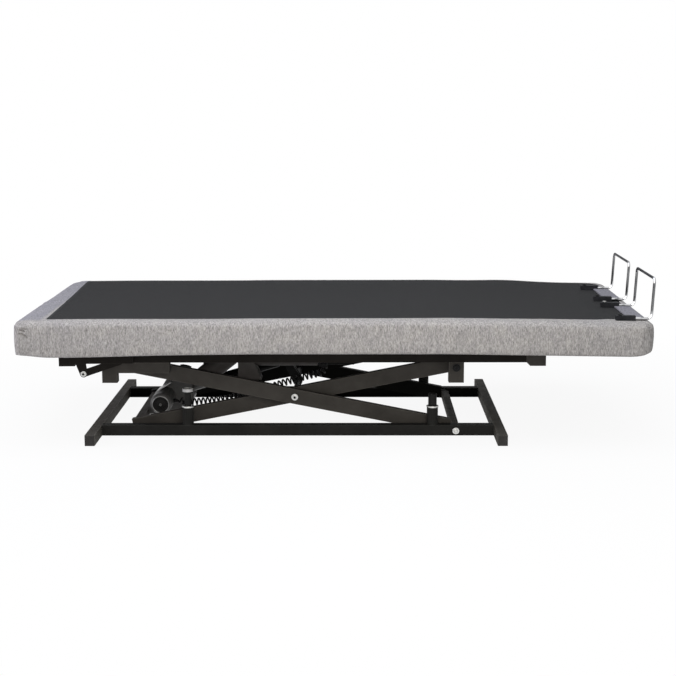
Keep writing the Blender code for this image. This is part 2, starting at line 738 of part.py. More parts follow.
def add_centre_shaft():
    """The shaft that the two arm pairs cross on, with a bolt head outside each outer arm."""
    head = OUTER_ARM_Y[1] + GAP
    shoulder = OUTER_ARM_Y[0] - GAP
    half = (
        (head + BOLT_HEAD_HEIGHT, 0), (head + BOLT_HEAD_HEIGHT, BOLT_HEAD_RADIUS),
        (head, BOLT_HEAD_RADIUS), (head, CENTRE_BOLT_RADIUS),
        (shoulder, CENTRE_BOLT_RADIUS), (shoulder, CENTRE_SHAFT_RADIUS),
    )
    profile = [(-y, radius) for y, radius in half] + list(reversed(half))
    shaft = turned("scissor_centre_shaft", (CENTRE_X, 0, CENTRE_Z), (0, 1, 0), profile)
    add_part(shaft, "outer_arms", "zinc", smooth=True)


def add_carriage_rails():
    bracket_head = CARRIAGE_FOOT_X - END_BRACKET_LENGTH
    for word, side in SIDES:
        y = y_span(side, RAIL_INNER_Y, RAIL_OUTER_Y)
        low = (CARRIAGE_HEAD_X, y[0], CARRIAGE_BOTTOM)
        high = (bracket_head, y[1], CARRIAGE_TOP)
        rail = square_tube("carriage_rail_" + word, low, high, CARRIAGE_RAIL_WALL, 0)
        add_part(rail, "carriage", "rail_black")
        drop = CARRIAGE_BOTTOM - END_BRACKET_DROP
        head = bracket_head + GAP
        outline = (
            (head, CARRIAGE_TOP), (head, CARRIAGE_BOTTOM), (head + END_BRACKET_SLANT, drop),
            (CARRIAGE_FOOT_X, drop), (CARRIAGE_FOOT_X, CARRIAGE_TOP),
        )
        bracket = side_plate("foot_rest_bracket_" + word, outline, y)
        add_part(bracket, "carriage", "rail_black")
    for name, x, top in (
        ("carriage_head_tube", HEAD_TUBE_X, CARRIAGE_TOP - GAP),
        ("carriage_seat_tube", SEAT_TUBE_X, TUBE_TOP),
        ("carriage_thigh_tube", THIGH_TUBE_X, TUBE_TOP),
    ):
        half = CARRIAGE_TUBE_SIZE / 2
        reach = RAIL_INNER_Y - GAP
        low = (x - half, -reach, top - CARRIAGE_TUBE_SIZE)
        high = (x + half, reach, top)
        add_part(square_tube(name, low, high, CARRIAGE_RAIL_WALL, 1), "carriage", "frame_black")


def add_guides():
    """Channels under the carriage rails for the upper rollers, each with a hanging stop at its head end."""
    bottom = UPPER_PIVOT_Z - RAIL_HEIGHT / 2
    for word, side in SIDES:
        head = GUIDE_HEAD_X - STOP_LENGTH + RAIL_WALL
        outline = (
            (head, GUIDE_TOP), (head, bottom - STOP_DROP), (GUIDE_HEAD_X + RAIL_WALL, bottom - STOP_DROP),
            (GUIDE_HEAD_X + RAIL_WALL, bottom), (GUIDE_FOOT_X, bottom), (GUIDE_FOOT_X, GUIDE_TOP),
        )
        guide = side_plate("guide_channel_" + word, outline, y_span(side, RAIL_INNER_Y, RAIL_OUTER_Y))
        y = y_span(side, RAIL_INNER_Y - RAIL_WALL, RAIL_OUTER_Y - RAIL_WALL)
        low = (GUIDE_HEAD_X + RAIL_WALL, y[0], bottom + RAIL_WALL)
        high = (GUIDE_FOOT_X - RAIL_WALL, y[1], GUIDE_TOP - RAIL_WALL)
        cut(guide, block("guide_slot", low, high))
        low = (head + RAIL_WALL, y[0], bottom - STOP_DROP + RAIL_WALL)
        high = (GUIDE_HEAD_X, y[1], GUIDE_TOP - RAIL_WALL)
        cut(guide, block("stop_pocket", low, high))
        add_part(guide, "carriage", "rail_black")


def add_upper_pivot():
    """Hanging brackets under the carriage rails, and the shaft that the inner arms turn on."""
    half = PIVOT_BRACKET_LENGTH / 2
    wall = PIVOT_BRACKET_WALL
    for word, side in SIDES:
        y = y_span(side, RAIL_INNER_Y, RAIL_OUTER_Y)
        low = (PIVOT_X - half, y[0], PIVOT_BRACKET_BOTTOM)
        high = (PIVOT_X + half, y[1], GUIDE_TOP)
        bracket = block("pivot_bracket_" + word, low, high)
        low = (PIVOT_X - half + wall, y[0] + wall, PIVOT_BRACKET_BOTTOM - wall)
        high = (PIVOT_X + half - wall, y[1] - wall, GUIDE_TOP - wall)
        cut(bracket, block("bracket_pocket", low, high))
        y = y_span(side, RAIL_INNER_Y - wall, RAIL_OUTER_Y + wall)
        cut(bracket, cross_bore("bracket_hole", PIVOT_X, UPPER_PIVOT_Z, UPPER_SHAFT_RADIUS + GAP, *y))
        add_part(bracket, "carriage", "rail_black")
    head = RAIL_OUTER_Y + GAP
    cap = UPPER_SHAFT_RADIUS + RAIL_WALL
    profile = (
        (-head - RAIL_WALL, 0), (-head - RAIL_WALL, cap), (-head, cap), (-head, UPPER_SHAFT_RADIUS),
        (head, UPPER_SHAFT_RADIUS), (head, cap), (head + RAIL_WALL, cap), (head + RAIL_WALL, 0),
    )
    shaft = turned("upper_pivot_shaft", (PIVOT_X, 0, UPPER_PIVOT_Z), (0, 1, 0), profile)
    add_part(shaft, "carriage", "frame_black", smooth=True)


def add_control_box():
    length, width, height = CONTROL_BOX_SIZE
    top = TUBE_TOP - CARRIAGE_TUBE_SIZE - GAP
    head = SEAT_TUBE_X - CARRIAGE_TUBE_SIZE / 2
    low = (head, CONTROL_BOX_Y - width / 2, top - height)
    high = (head + length, CONTROL_BOX_Y + width / 2, top)
    add_part(block("control_box", low, high), "carriage", "black_plastic")


def deck_slab(name):
    """The whole deck with round corners and edges, before it is parted into sections."""
    half_length = DECK_LENGTH / 2
    half_width = DECK_WIDTH / 2
    quarter = math.pi / 2
    outline = []
    for turn, (x, y, radius) in enumerate((
        (half_length, half_width, FOOT_CORNER_RADIUS), (-half_length, half_width, HEAD_CORNER_RADIUS),
        (-half_length, -half_width, HEAD_CORNER_RADIUS), (half_length, -half_width, FOOT_CORNER_RADIUS),
    )):
        centre = (x - math.copysign(radius, x), y - math.copysign(radius, y))
        outline += arc(centre, radius, turn * quarter, (turn + 1) * quarter, 6)
    curve = flat_curve(name, outline, DECK_THICKNESS / 2 - DECK_EDGE_RADIUS)
    curve.bevel_depth = DECK_EDGE_RADIUS
    curve.bevel_resolution = 1
    curve.offset = -DECK_EDGE_RADIUS
    mesh = mesh_of_curve(name, curve)
    mesh.transform(Matrix.Translation((0, 0, DECK_TOP - DECK_THICKNESS / 2)))
    return shape(name, mesh)


def add_deck():
    half_seam = SEAM_GAP / 2
    spare = DECK_EDGE_RADIUS
    for body, head, foot in (
        ("back", HEAD_END_X - spare, BACK_HINGE_X - half_seam),
        ("carriage", BACK_HINGE_X + half_seam, THIGH_HINGE_X - half_seam),
        ("thigh", THIGH_HINGE_X + half_seam, KNEE_X - half_seam),
        ("foot", KNEE_X + half_seam, FOOT_END_X + spare),
    ):
        word = "seat" if body == "carriage" else body
        section = deck_slab(word + "_section")
        low = (head, -DECK_WIDTH, DECK_BOTTOM - spare)
        high = (foot, DECK_WIDTH, DECK_TOP + spare)
        combine(section, block(word + "_extent", low, high), "INTERSECT")
        add_part(section, body, "grey_fabric")


def add_crank(name, yoke, body, y, root, bore=0.0, extra=0.0):
    """Two plates from a root outline to a pin between them, for the eye of a push rod."""
    eye_half = EYE_THICKNESS / 2 + RUNNING_CLEARANCE
    outer = eye_half + CRANK_PLATE
    pin = yoke.pin(extra)
    plate = hull([*root, *circle(pin, CRANK_EYE)])
    crank = cross_bore(name, *pin, PIN_RADIUS, y - outer, y + outer)
    for side in (NEAR, FAR):
        span = (y + side * eye_half, y + side * (outer + GAP))
        join(crank, side_plate(name + "_plate", plate, span))
    if bore:
        reach = 2 * outer
        cut(crank, cross_bore(name + "_hub", yoke.pivot.x, yoke.pivot.z, bore, y - reach, y + reach))
    add_part(crank, body, "frame_black")


def add_push_rod(name, yoke, y):
    """A rod that slides in its tube, with a slotted eye round the crank pin."""
    low = yoke.pin_along - EYE_LENGTH / 2
    high = yoke.pin_along + EYE_LENGTH / 2
    tall = yoke.slot + EYE_WALL
    half = EYE_THICKNESS / 2
    eye = side_plate(name, yoke.frame(low, high, yoke.line - tall, yoke.line + tall), (y - half, y + half))
    wide = PIN_RADIUS + yoke.play
    slot = yoke.frame(
        yoke.pin_along - wide, yoke.pin_along + wide, yoke.line - yoke.slot, yoke.line + yoke.slot,
    )
    cut(eye, side_plate(name + "_slot", slot, (y - 2 * half, y + 2 * half)))
    back = yoke.tube_back() + yoke.spare / 2
    shank = round_bar(name + "_shank", yoke.on_line(back, y), yoke.on_line(low + EYE_WALL / 2, y), ROD_RADIUS)
    join(eye, shank)
    add_part(eye, name, "zinc")


def actuator_tube(name, yoke, y, overlap):
    """The tube that a push rod slides in, open at its mouth."""
    start = yoke.tube_back() - overlap
    length = yoke.mouth() - start
    bore = ROD_RADIUS + RUNNING_CLEARANCE
    along = yoke.along
    profile = (
        (0, 0), (0, ACTUATOR_TUBE_RADIUS), (length, ACTUATOR_TUBE_RADIUS), (length, bore),
        (overlap, bore), (overlap, 0),
    )
    return turned(name, yoke.on_line(start, y), along, profile, steps=12)


def add_lift_actuator():
    half = LIFT_HOUSING_WIDTH / 2
    clevis = ROLLER_X + CROSS_TUBE_SIZE / 2 + GAP
    clevis_z = LOWER_PIVOT_Z + INNER_TUBE_RISE
    foot = CROSS_TUBE_SIZE / 2 - CROSS_TUBE_WALL
    outline = hull([
        (clevis, clevis_z + foot), (clevis, clevis_z - foot),
        *circle((LIFT_MOTOR_X + GEAR_FRONT_X, LIFT_MOTOR_Z), GEAR_FRONT_RADIUS, 24),
        *circle((LIFT_MOTOR_X + GEAR_TOP_X, LIFT_MOTOR_Z + GEAR_TOP_RISE), GEAR_TOP_RADIUS, 24),
    ])
    housing = side_plate("lift_actuator", outline, (-half, half))
    join(housing, actuator_tube("lift_tube", LIFT_YOKE, 0, ACTUATOR_TUBE_RADIUS))
    add_part(housing, "inner_arms", "black_plastic")
    length = LIFT_MOTOR_LENGTH
    face = LIFT_MOTOR_BOSS_HEIGHT
    profile = (
        (0, 0), (0, LIFT_MOTOR_BOSS), (face, LIFT_MOTOR_BOSS), (face, LIFT_MOTOR_RIM),
        (face + LIFT_MOTOR_RIM_DEPTH, LIFT_MOTOR_RADIUS), (length, LIFT_MOTOR_RADIUS), (length, 0),
    )
    start = (LIFT_MOTOR_X, -half - GAP - length, LIFT_MOTOR_Z)
    motor = turned("lift_motor", start, (0, 1, 0), profile, steps=24)
    add_part(motor, "inner_arms", "black_plastic", smooth=True)
    root = circle((CENTRE_X, CENTRE_Z), CENTRE_SHAFT_RADIUS + CRANK_PLATE)
    add_crank("lift_crank", LIFT_YOKE, "outer_arms", 0, root, bore=CENTRE_SHAFT_RADIUS + GAP)
    add_push_rod("lift_rod", LIFT_YOKE, 0)


def add_back_actuator():
    """Hangs under the thigh tube and pushes the back crank towards the head end."""
    y = BACK_ACTUATOR_Y
    half = SMALL_HOUSING_WIDTH / 2
    start = BACK_YOKE.on_line(BACK_YOKE.tube_back(), y)
    tall = ACTUATOR_TUBE_RADIUS + ARM_WALL
    hook = TUBE_TOP - CARRIAGE_TUBE_SIZE - GAP
    end = THIGH_TUBE_X + CARRIAGE_TUBE_SIZE / 2
    outline = (
        (start[0], start[2] - tall), (end, start[2] - tall), (end, hook),
        (THIGH_TUBE_X - CARRIAGE_TUBE_SIZE / 2, hook), (start[0], start[2] + tall),
    )
    housing = side_plate("back_actuator", outline, (y - half, y + half))
    join(housing, actuator_tube("back_tube", BACK_YOKE, y, ACTUATOR_TUBE_RADIUS))
    centre = (start[0] + SMALL_MOTOR_RADIUS + ARM_WALL, start[2])
    join(housing, cross_bore("back_motor", *centre, SMALL_MOTOR_RADIUS, y - half - SMALL_MOTOR_LENGTH, y))
    add_part(housing, "carriage", "black_plastic")
    add_push_rod("back_rod", BACK_YOKE, y)
    seat = DECK_BOTTOM - GAP
    foot = BACK_HINGE_X - SEAM_GAP
    root = ((foot - CRANK_PAD, seat), (foot, seat))
    add_crank("back_crank", BACK_YOKE, "back", y, root, extra=BACK_DROOP)


def add_leg_actuator():
    """Hangs on a bar from the near rail, with a slanting motor, and pushes the thigh crank."""
    y = LEG_ACTUATOR_Y
    half = SMALL_HOUSING_WIDTH / 2
    top = CARRIAGE_BOTTOM
    head = LEG_HOUSING_HEAD_X
    outline = (
        (head, top), (head, LEG_HOUSING_BOTTOM), (head + LEG_HOUSING_FOOT_LENGTH, LEG_HOUSING_BOTTOM),
        (head + LEG_HOUSING_LENGTH, top),
    )
    housing = side_plate("leg_actuator", outline, (y - half, y + half))
    start = LEG_YOKE.at(LEG_YOKE.tube_back(), LEG_YOKE.line)
    overlap = start[0] - head - LEG_HOUSING_LENGTH / 2
    join(housing, actuator_tube("leg_tube", LEG_YOKE, y, overlap))
    neck = half - LEG_NECK_INSET
    join(housing, block(
        "leg_neck", (head - LEG_NECK_LENGTH, y - neck, top - LEG_NECK_HEIGHT),
        (head + LEG_HOUSING_LENGTH / 2, y + neck, top - LEG_NECK_INSET),
    ))
    lean = Vector((math.cos(LEG_MOTOR_LEAN), 0, math.sin(LEG_MOTOR_LEAN)))
    low_end = Vector((LEG_MOTOR_X, y, LEG_MOTOR_Z)) - lean * LEG_MOTOR_LENGTH / 2
    profile = (
        (0, 0), (0, LEG_MOTOR_RIM), (LEG_MOTOR_RIM_DEPTH, LEG_MOTOR_RADIUS),
        (LEG_MOTOR_LENGTH, LEG_MOTOR_RADIUS), (LEG_MOTOR_LENGTH, 0),
    )
    join(housing, turned("leg_motor", low_end, lean, profile, steps=24))
    add_part(housing, "carriage", "black_plastic")
    low = (head, -RAIL_INNER_Y + GAP, top + GAP)
    high = (head + LEG_HOUSING_LENGTH, y + half, top + GAP + HANGER_THICKNESS)
    add_part(block("leg_actuator_hanger", low, high), "carriage", "frame_black")
    add_push_rod("leg_rod", LEG_YOKE, y)
    seat = DECK_BOTTOM - GAP
    head = THIGH_HINGE_X + SEAM_GAP
    root = ((head, seat), (head + CRANK_PAD, seat))
    add_crank("thigh_crank", LEG_YOKE, "thigh", y, root)


def add_back_braces():
    """A side bar under the back section on each side, with a bracket and a slanting bar below it."""
    inner = RAIL_OUTER_Y + ARM_SPACING
    outer = inner + BRACE_THICKNESS
    middle = (inner + outer) / 2
    top = DECK_BOTTOM - GAP
    bolt = (BRACE_BOLT_X, BRACE_BOLT_Z)
    meet = (BRACE_MEET_X, BRACE_SIDE_BAR_Z + BRACE_BAR_HEIGHT / 4)
    stub_end = BRACE_HEAD_X + BRACE_STUB_LENGTH
    side_bar = (
        (BRACE_HEAD_X, top), (BRACE_HEAD_X, BRACE_STUB_Z), (stub_end, BRACE_STUB_Z),
        (stub_end, BRACE_SIDE_BAR_Z), (BRACE_FOOT_X, BRACE_SIDE_BAR_Z), (BRACE_FOOT_X, top),
    )
    shoulder = BRACE_SIDE_BAR_Z + BRACE_BAR_HEIGHT / 2
    bracket = [
        (BRACE_BOLT_X - BRACE_BRACKET_LENGTH, shoulder), (BRACE_BOLT_X + BRACE_BAR_HEIGHT / 4, shoulder),
        *circle(bolt, BRACE_BAR_HEIGHT / 2),
    ]
    radius = BRACE_BAR_HEIGHT / 2
    bar = hull([*circle(bolt, radius - GAP), *circle(meet, radius - GAP)])
    for word, side in SIDES:
        brace = side_plate("back_brace_" + word, side_bar, y_span(side, inner, outer))
        thin = BRACE_THICKNESS / 4
        join(brace, side_plate("brace_bracket", hull(bracket), y_span(side, middle, outer - GAP)))
        join(brace, side_plate("brace_bar", bar, y_span(side, inner + thin, outer - thin)))
        add_part(brace, "back", "frame_black")


def add_retainers():
    """Two base plates with clamps on the foot section, and the chrome loop that slides in each."""
    deck = DECK_TOP + GAP
    leg_z = deck + LOOP_LEG_RISE
    for word, (first, last) in (("near", NEAR_LOOP_Y), ("far", FAR_LOOP_Y)):
        inset = LOOP_WIRE_RADIUS + RUNNING_CLEARANCE * 3
        low = (PLATE_HEAD_X, first + inset, deck)
        plate = block("retainer_plate_" + word, low, (PLATE_FOOT_X, last - inset, deck + PLATE_THICKNESS))
        for y in (first, last):
            low = (CLAMP_HEAD_X, y - CLAMP_WIDTH / 2, deck)
            high = (CLAMP_HEAD_X + CLAMP_LENGTH, y + CLAMP_WIDTH / 2, deck + CLAMP_HEIGHT)
            join(plate, block("clamp", low, high))
        for y in (first, last):
            start = (CLAMP_HEAD_X - CLAMP_LENGTH, y, leg_z)
            end = (CLAMP_HEAD_X + 2 * CLAMP_LENGTH, y, leg_z)
            cut(plate, round_bar("clamp_bore", start, end, LOOP_WIRE_RADIUS + RUNNING_CLEARANCE))
        add_part(plate, "foot", "plate_grey")
        top_x = LOOP_BEND_X + LOOP_HEIGHT * math.tan(LOOP_LEAN)
        top_z = leg_z + LOOP_HEIGHT
        corners = (
            (LOOP_LEG_START_X, first, leg_z), (LOOP_BEND_X, first, leg_z), (top_x, first, top_z),
            (top_x, last, top_z), (LOOP_BEND_X, last, leg_z), (LOOP_LEG_START_X, last, leg_z),
        )
        loop = wire("retainer_loop_" + word, filleted(corners, LOOP_BEND), LOOP_WIRE_RADIUS, 2)
        add_part(loop, "loop_" + word, "chrome")


def smooth_path(points, steps):
    """Points on a smooth curve through all the given ones but the first and last, which steer its ends."""
    path = []
    for before, start, end, after in zip(points, points[1:], points[2:], points[3:]):
        for step in range(steps):
            t = step / steps
            bend = 2 * before - 5 * start + 4 * end - after
            twist = 3 * start - before - 3 * end + after
            path.append(start + ((end - before) * t + bend * t * t + twist * t ** 3) / 2)
    path.append(points[-2])
    return path


def at_distance(path, distance):
    """The point and the heading at a distance along a path."""
    for start, end in zip(path, path[1:]):
        step = (end - start).length
        if distance <= step:
            break
        distance -= step
    heading = (end - start).normalized()
    return start + heading * distance, heading


def cord_route():
    """The middle line of the curly cord, from the side of the lift motor up to the control box."""
    low = Vector((LIFT_MOTOR_X + LIFT_MOTOR_RADIUS + GAP, CORD_Y, LIFT_MOTOR_Z))
    box_bottom = TUBE_TOP - CARRIAGE_TUBE_SIZE - GAP - CONTROL_BOX_SIZE[2]
    high = Vector((CORD_BOX_X, CORD_Y, box_bottom - GAP))
    out_of_motor = low + Vector((CORD_END_RUN, 0, 0))
    up_to_box = high - Vector((0, 0, CORD_END_RUN))
    between = [Vector((x, CORD_Y, z)) for x, z in CORD_ROUTE]
    steer_low = between[0] - Vector((4 * CORD_END_RUN, 0, 0))
    steer_high = between[-1] + Vector((0, 0, 4 * CORD_END_RUN))
    return [low, *smooth_path([steer_low, out_of_motor, *between, up_to_box, steer_high], 10), high]


def curly_points():
    path = cord_route()
    length = sum((end - start).length for start, end in zip(path, path[1:]))
    straight = 2 * CORD_DIAMETER
    count = CURLS * POINTS_PER_CURL
    points = [path[0], at_distance(path, straight / 2)[0]]
    sideways = Vector((0, 1, 0))
    for step in range(count + 1):
        share = step / count
        middle, heading = at_distance(path, straight + (length - 2 * straight) * share)
        opened = min(1, step / POINTS_PER_CURL, (count - step) / POINTS_PER_CURL)
        turn = 2 * math.pi * step / POINTS_PER_CURL
        spoke = heading.cross(sideways) * math.cos(turn) + sideways * math.sin(turn)
        points.append(middle + spoke * CURL_RADIUS * opened)
    points += [at_distance(path, length - straight / 2)[0], path[-1]]
    return points


def add_curly_cord():
    points = curly_points()
    apart = POINTS_PER_CURL // 2
    least = min(
        (other - point).length
        for index, point in enumerate(points)
        for other in points[index + apart:]
    )
    print(f"curly cord: least gap to itself {1000 * (least - CORD_DIAMETER):.2f} mm")
    cord = wire("curly_cord", points, CORD_DIAMETER / 2, 1)
    add_part(cord, "inner_arms", "cord_black")


clear_scene()
add_bodies()
add_floor_frame()
add_landing_buffers()
add_scissor()
add_carriage_rails()
add_guides()
add_upper_pivot()
add_control_box()
add_deck()
add_lift_actuator()
add_back_actuator()
add_leg_actuator()
add_back_braces()
add_retainers()
add_curly_cord()
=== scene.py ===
import math

import bmesh
import bpy
from mathutils import Matrix, Vector, noise


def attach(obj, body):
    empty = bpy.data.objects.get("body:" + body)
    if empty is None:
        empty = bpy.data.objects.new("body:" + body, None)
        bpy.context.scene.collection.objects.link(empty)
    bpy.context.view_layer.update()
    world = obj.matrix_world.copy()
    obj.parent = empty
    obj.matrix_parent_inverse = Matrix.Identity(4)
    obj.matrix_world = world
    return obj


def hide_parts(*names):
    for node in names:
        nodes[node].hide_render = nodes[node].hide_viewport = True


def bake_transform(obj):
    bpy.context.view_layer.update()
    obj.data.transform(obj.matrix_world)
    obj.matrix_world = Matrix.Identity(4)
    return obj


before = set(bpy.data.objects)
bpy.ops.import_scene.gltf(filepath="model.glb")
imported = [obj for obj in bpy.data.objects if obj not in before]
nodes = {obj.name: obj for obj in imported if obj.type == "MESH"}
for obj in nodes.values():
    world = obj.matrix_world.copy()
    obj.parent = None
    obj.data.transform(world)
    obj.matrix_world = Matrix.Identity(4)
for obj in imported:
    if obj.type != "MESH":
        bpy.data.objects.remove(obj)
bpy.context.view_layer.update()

# The deck, in metres, as the CAD has it
DECK_END = 1.015
DECK_SIDE = 0.4825
DECK_TOP = 0.416
DECK_BOTTOM = 0.306
BACK_HINGE = (-0.250, 0.416)
THIGH_HINGE = (0.015, 0.416)
KNEE_HINGE = (0.360, 0.306)
BACK_DROOP = math.radians(-0.501)
FOOT_DROOP = math.radians(0.926)
BACK_SPLIT = -0.1175
THIGH_SPLIT = 0.1875
# How far to each side of a hinge the cover bends
HINGE_REACH = 0.030
KNEE_REACH = 0.060

# The cover: how far its edges are rounded, and where its seams are; a name with ALONG or ACROSS is a place
# and the length or width from it, for a smooth step or a hill
NEAR_ROUND = 0.048
FAR_ROUND = 0.022
HEAD_ROUND = 0.040
FOOT_ROUND = 0.030
EDGE_FALL = 0.019
HEAD_FALL = 0.0105
HEAD_FULL = (0.50, 0.60)
HEAD_OUT, HEAD_OUT_ALONG = 0.0026, (-0.940, -0.075)
EDGE_POWER, UNDER_POWER = 2.6, 2.4
UNDER_ROUND = 0.010
HEAD_UNDER_ROUND = 0.0022
HEAD_UNDER_FLAT, HEAD_UNDER_ALONG = 0.8, (-0.90, -0.10)
HEM_ACROSS = (0.352, 0.070)
HEM_HANG, HEM_HANG_ALONG = 0.0050, (-0.865, 0.24)
HEM_LIFT, HEM_LIFT_ALONG = 0.0085, (-0.905, -0.110)
FOOT_UNDER_ROUND = (0.088, 0.028)
NEAR_HEAD_CORNER = 0.021
FAR_HEAD_CORNER = 0.062
FOOT_CORNER = 0.052
TOP_GAP = 0.0004
TOP_RIPPLE, TOP_RIPPLE_FROM = 0.0004, 0.05
HEAD_RISE, HEAD_RISE_ALONG = 0.0035, (-0.35, -0.5)
HEAD_SEAM_Y = -0.036
HEAD_WELT, HEAD_WELT_ALONG = ((0.0024, 0.0065), (-0.0020, 0.0016)), (-0.930, -0.010)
SEAM_DEPTH, SEAM_WIDTH = 0.0030, 0.0026
SIDE_SWELL = 0.0022
SIDE_RIPPLE = 0.0008
HEM_PULL = 0.0007
HAIR = 1e-6
# Folds at the near head corner: where each starts and ends, its depth and its width
TUCKS = (
    ((-0.9925, 0.3924), (-0.9816, 0.3886), 0.0080, 0.0028),
    ((-0.9952, 0.3812), (-0.9886, 0.3812), 0.0080, 0.0028),
    ((-0.9886, 0.3812), (-0.9787, 0.3735), 0.0080, 0.0028),
    ((-0.9787, 0.3735), (-0.9713, 0.3683), 0.0046, 0.0026),
    ((-0.9844, 0.3968), (-0.9747, 0.3940), 0.0046, 0.0026),
)
TUCK_MIDDLE = -0.983
TUCKS_END = -0.9
# The far side of the deck stands a little higher, most of all over the shins
FAR_RISE, FAR_RISE_ENDS, FAR_RISE_ACROSS = 0.0034, (0.64, 0.22), (0.02, 0.40)
SHIN_RISE, SHIN_ALONG = 0.0034, (0.62, 0.10)

# The black top panel: its near edge drifts inwards towards the foot end, and its head edge runs askew
PANEL_NEAR = -0.428
PANEL_DRIFT = 0.030
PANEL_DRIFT_AT = 0.92
PANEL_FAR = 0.459
PANEL_HEAD = -0.939
PANEL_HEAD_SLOPE = 0.0334
PANEL_HEAD_AT = 0.03
PANEL_FIRST_ROW = -0.955
PANEL_EVEN_FROM = 0.12
PANEL_FOOT = 0.982
PANEL_CORNER = 0.060
PANEL_HEAD_CORNER = 0.008
PANEL_SINK, SINK_WIDTH = 0.0026, 0.005
PANEL_LIFT = 0.0003
PANEL_THICK = 0.0016
PANEL_HEM = 0.0065
HEM_RISE, HEM_WIDE = 0.0005, 0.012
HEM_EDGE, HEM_EDGE_WIDE = 0.0009, 0.0025
HEM_GROOVE = (0.0007, 0.0011)
PANEL_RIPPLE, PANEL_RIPPLE_FROM = 0.0003, 0.03

# The floor frame, the arms and the buffers, for the pieces that are put on them
FOOT_BARS = (-0.793, 0.5425)
FOOT_BAR_END = 0.448
FOOT_BAR_SIZE = (0.032, 0.035)
ARM_ANGLE = math.radians(11.207)
ARM_HEIGHT = 0.050
OUTER_ARM_END = (-0.6877, 0.2340)
INNER_ARM_END = (0.4177, 0.2340)
OUTER_ARM_Y = (0.2483, 0.2733)
INNER_ARM_Y = (0.2183, 0.2433)
RAIL_Y = (0.2783, 0.3133)
RAIL_Z = (0.2483, 0.3003)
RAIL_HEAD_X = -0.867
BUFFER_XS = (-0.490, 0.323)
MOTOR_END = (-0.599, -0.170, 0.0745)
BUFFER_Y = 0.2958
ARM_PAD = (-0.4990, -0.2608, 0.2252)
ARM_PAD_SIZE = (0.037, 0.018, 0.0058)
LOW_PIVOT = (0.400, 0.0185)
HIGH_PIVOT = (0.400, 0.2305)
CENTRE_PIVOT = (-0.135, 0.1245)
BRACE_BOLT = (-0.828, 0.2206)
CLAMP_YS = (-0.425, -0.145, -0.005, 0.275)
CLAMP_HALF_WIDTH = 0.0104
CLAMP_SCREW_X = 0.908
CLAMP_TOP = 0.4313

# The curly cord, by the same route as its solid
CORD_Y = -0.110
CORD_DIAMETER = 0.006
CURL_RADIUS = 0.0105
CURLS = 36
POINTS_PER_CURL = 14
CORD_START = (-0.5617, CORD_Y, 0.0745)
CORD_END = (-0.035, CORD_Y, 0.2131)
CORD_ROUTE = (
    (-0.500, 0.070), (-0.400, 0.080), (-0.300, 0.099), (-0.180, 0.138), (-0.100, 0.161),
    (-0.054, 0.174),
)
CORD_END_RUN = 0.014

scene = bpy.context.scene


# Camera, at the photograph's viewing angle
CAMERA_AT = (0.060, -4.846, 1.132)
CAMERA_TURNS = (("Z", 0.63), ("X", 79.97), ("Z", -0.17))
CAMERA_SENSOR = 36
CAMERA_LENS = 74.66
turn = Matrix.Identity(3)
for axis, degrees in CAMERA_TURNS:
    turn = turn @ Matrix.Rotation(math.radians(degrees), 3, axis)
bpy.ops.object.camera_add(location=CAMERA_AT, rotation=turn.to_euler())
camera = bpy.context.object
camera.name = "camera"
camera.data.sensor_width = CAMERA_SENSOR
camera.data.lens = CAMERA_LENS
scene.camera = camera


# Modelling steps that many pieces share
def only(piece):
    if bpy.context.mode != "OBJECT":
        bpy.ops.object.mode_set(mode="OBJECT")
    bpy.ops.object.select_all(action="DESELECT")
    piece.select_set(True)
    bpy.context.view_layer.objects.active = piece


def settle(piece, name):
    """Names a piece and puts its place into its mesh."""
    only(piece)
    piece.name = name
    piece.data.name = name
    bpy.ops.object.transform_apply(location=True, rotation=True, scale=True)
    return piece


def block(name, low, high, turned=0.0):
    """A block from corner to corner, turned about the Y axis round its middle."""
    middle = [(a + b) / 2 for a, b in zip(low, high)]
    bpy.ops.mesh.primitive_cube_add(size=1, location=middle, rotation=(0, turned, 0))
    piece = bpy.context.object
    piece.scale = [b - a for a, b in zip(low, high)]
    return settle(piece, name)


def disc(name, middle, axis, radius, depth, sides=32):
    """A disc or a bar round an axis, "X", "Y" or "Z"."""
    turned = {"X": (0, math.pi / 2, 0), "Y": (math.pi / 2, 0, 0), "Z": (0, 0, 0)}[axis]
    bpy.ops.mesh.primitive_cylinder_add(
        vertices=sides, radius=radius, depth=depth, location=middle, rotation=turned
    )
    return settle(bpy.context.object, name)


def pick(piece, test):
    """Goes into edit mode with the faces selected whose middle and normal pass the test."""
    only(piece)
    bpy.ops.object.mode_set(mode="EDIT")
    bpy.ops.mesh.select_mode(type="FACE")
    bpy.ops.mesh.select_all(action="DESELECT")
    bpy.ops.object.mode_set(mode="OBJECT")
    for face in piece.data.polygons:
        face.select = bool(test(face.center, face.normal))
    bpy.ops.object.mode_set(mode="EDIT")


def out_of_edit(piece):
    bpy.ops.mesh.select_all(action="SELECT")
    bpy.ops.mesh.normals_make_consistent(inside=False)
    bpy.ops.object.mode_set(mode="OBJECT")
    only(piece)


UP, DOWN, TO_NEAR = Vector((0, 0, 1)), Vector((0, 0, -1)), Vector((0, -1, 0))
STEP_DRAFT = 0.00001
ON_AXIS = 0.001


def step_face(piece, heading, inset, rise, axis=None):
    """Insets the faces that look one way, or only the one on an axis, and pushes them out or in."""
    def meant(centre, normal):
        off = 0 if axis is None else (centre - axis).cross(heading).length
        return normal.dot(heading) > 0.9 and off < ON_AXIS

    pick(piece, meant)
    bpy.ops.mesh.inset(thickness=inset, depth=0)
    bpy.ops.mesh.inset(thickness=STEP_DRAFT, depth=rise)
    out_of_edit(piece)


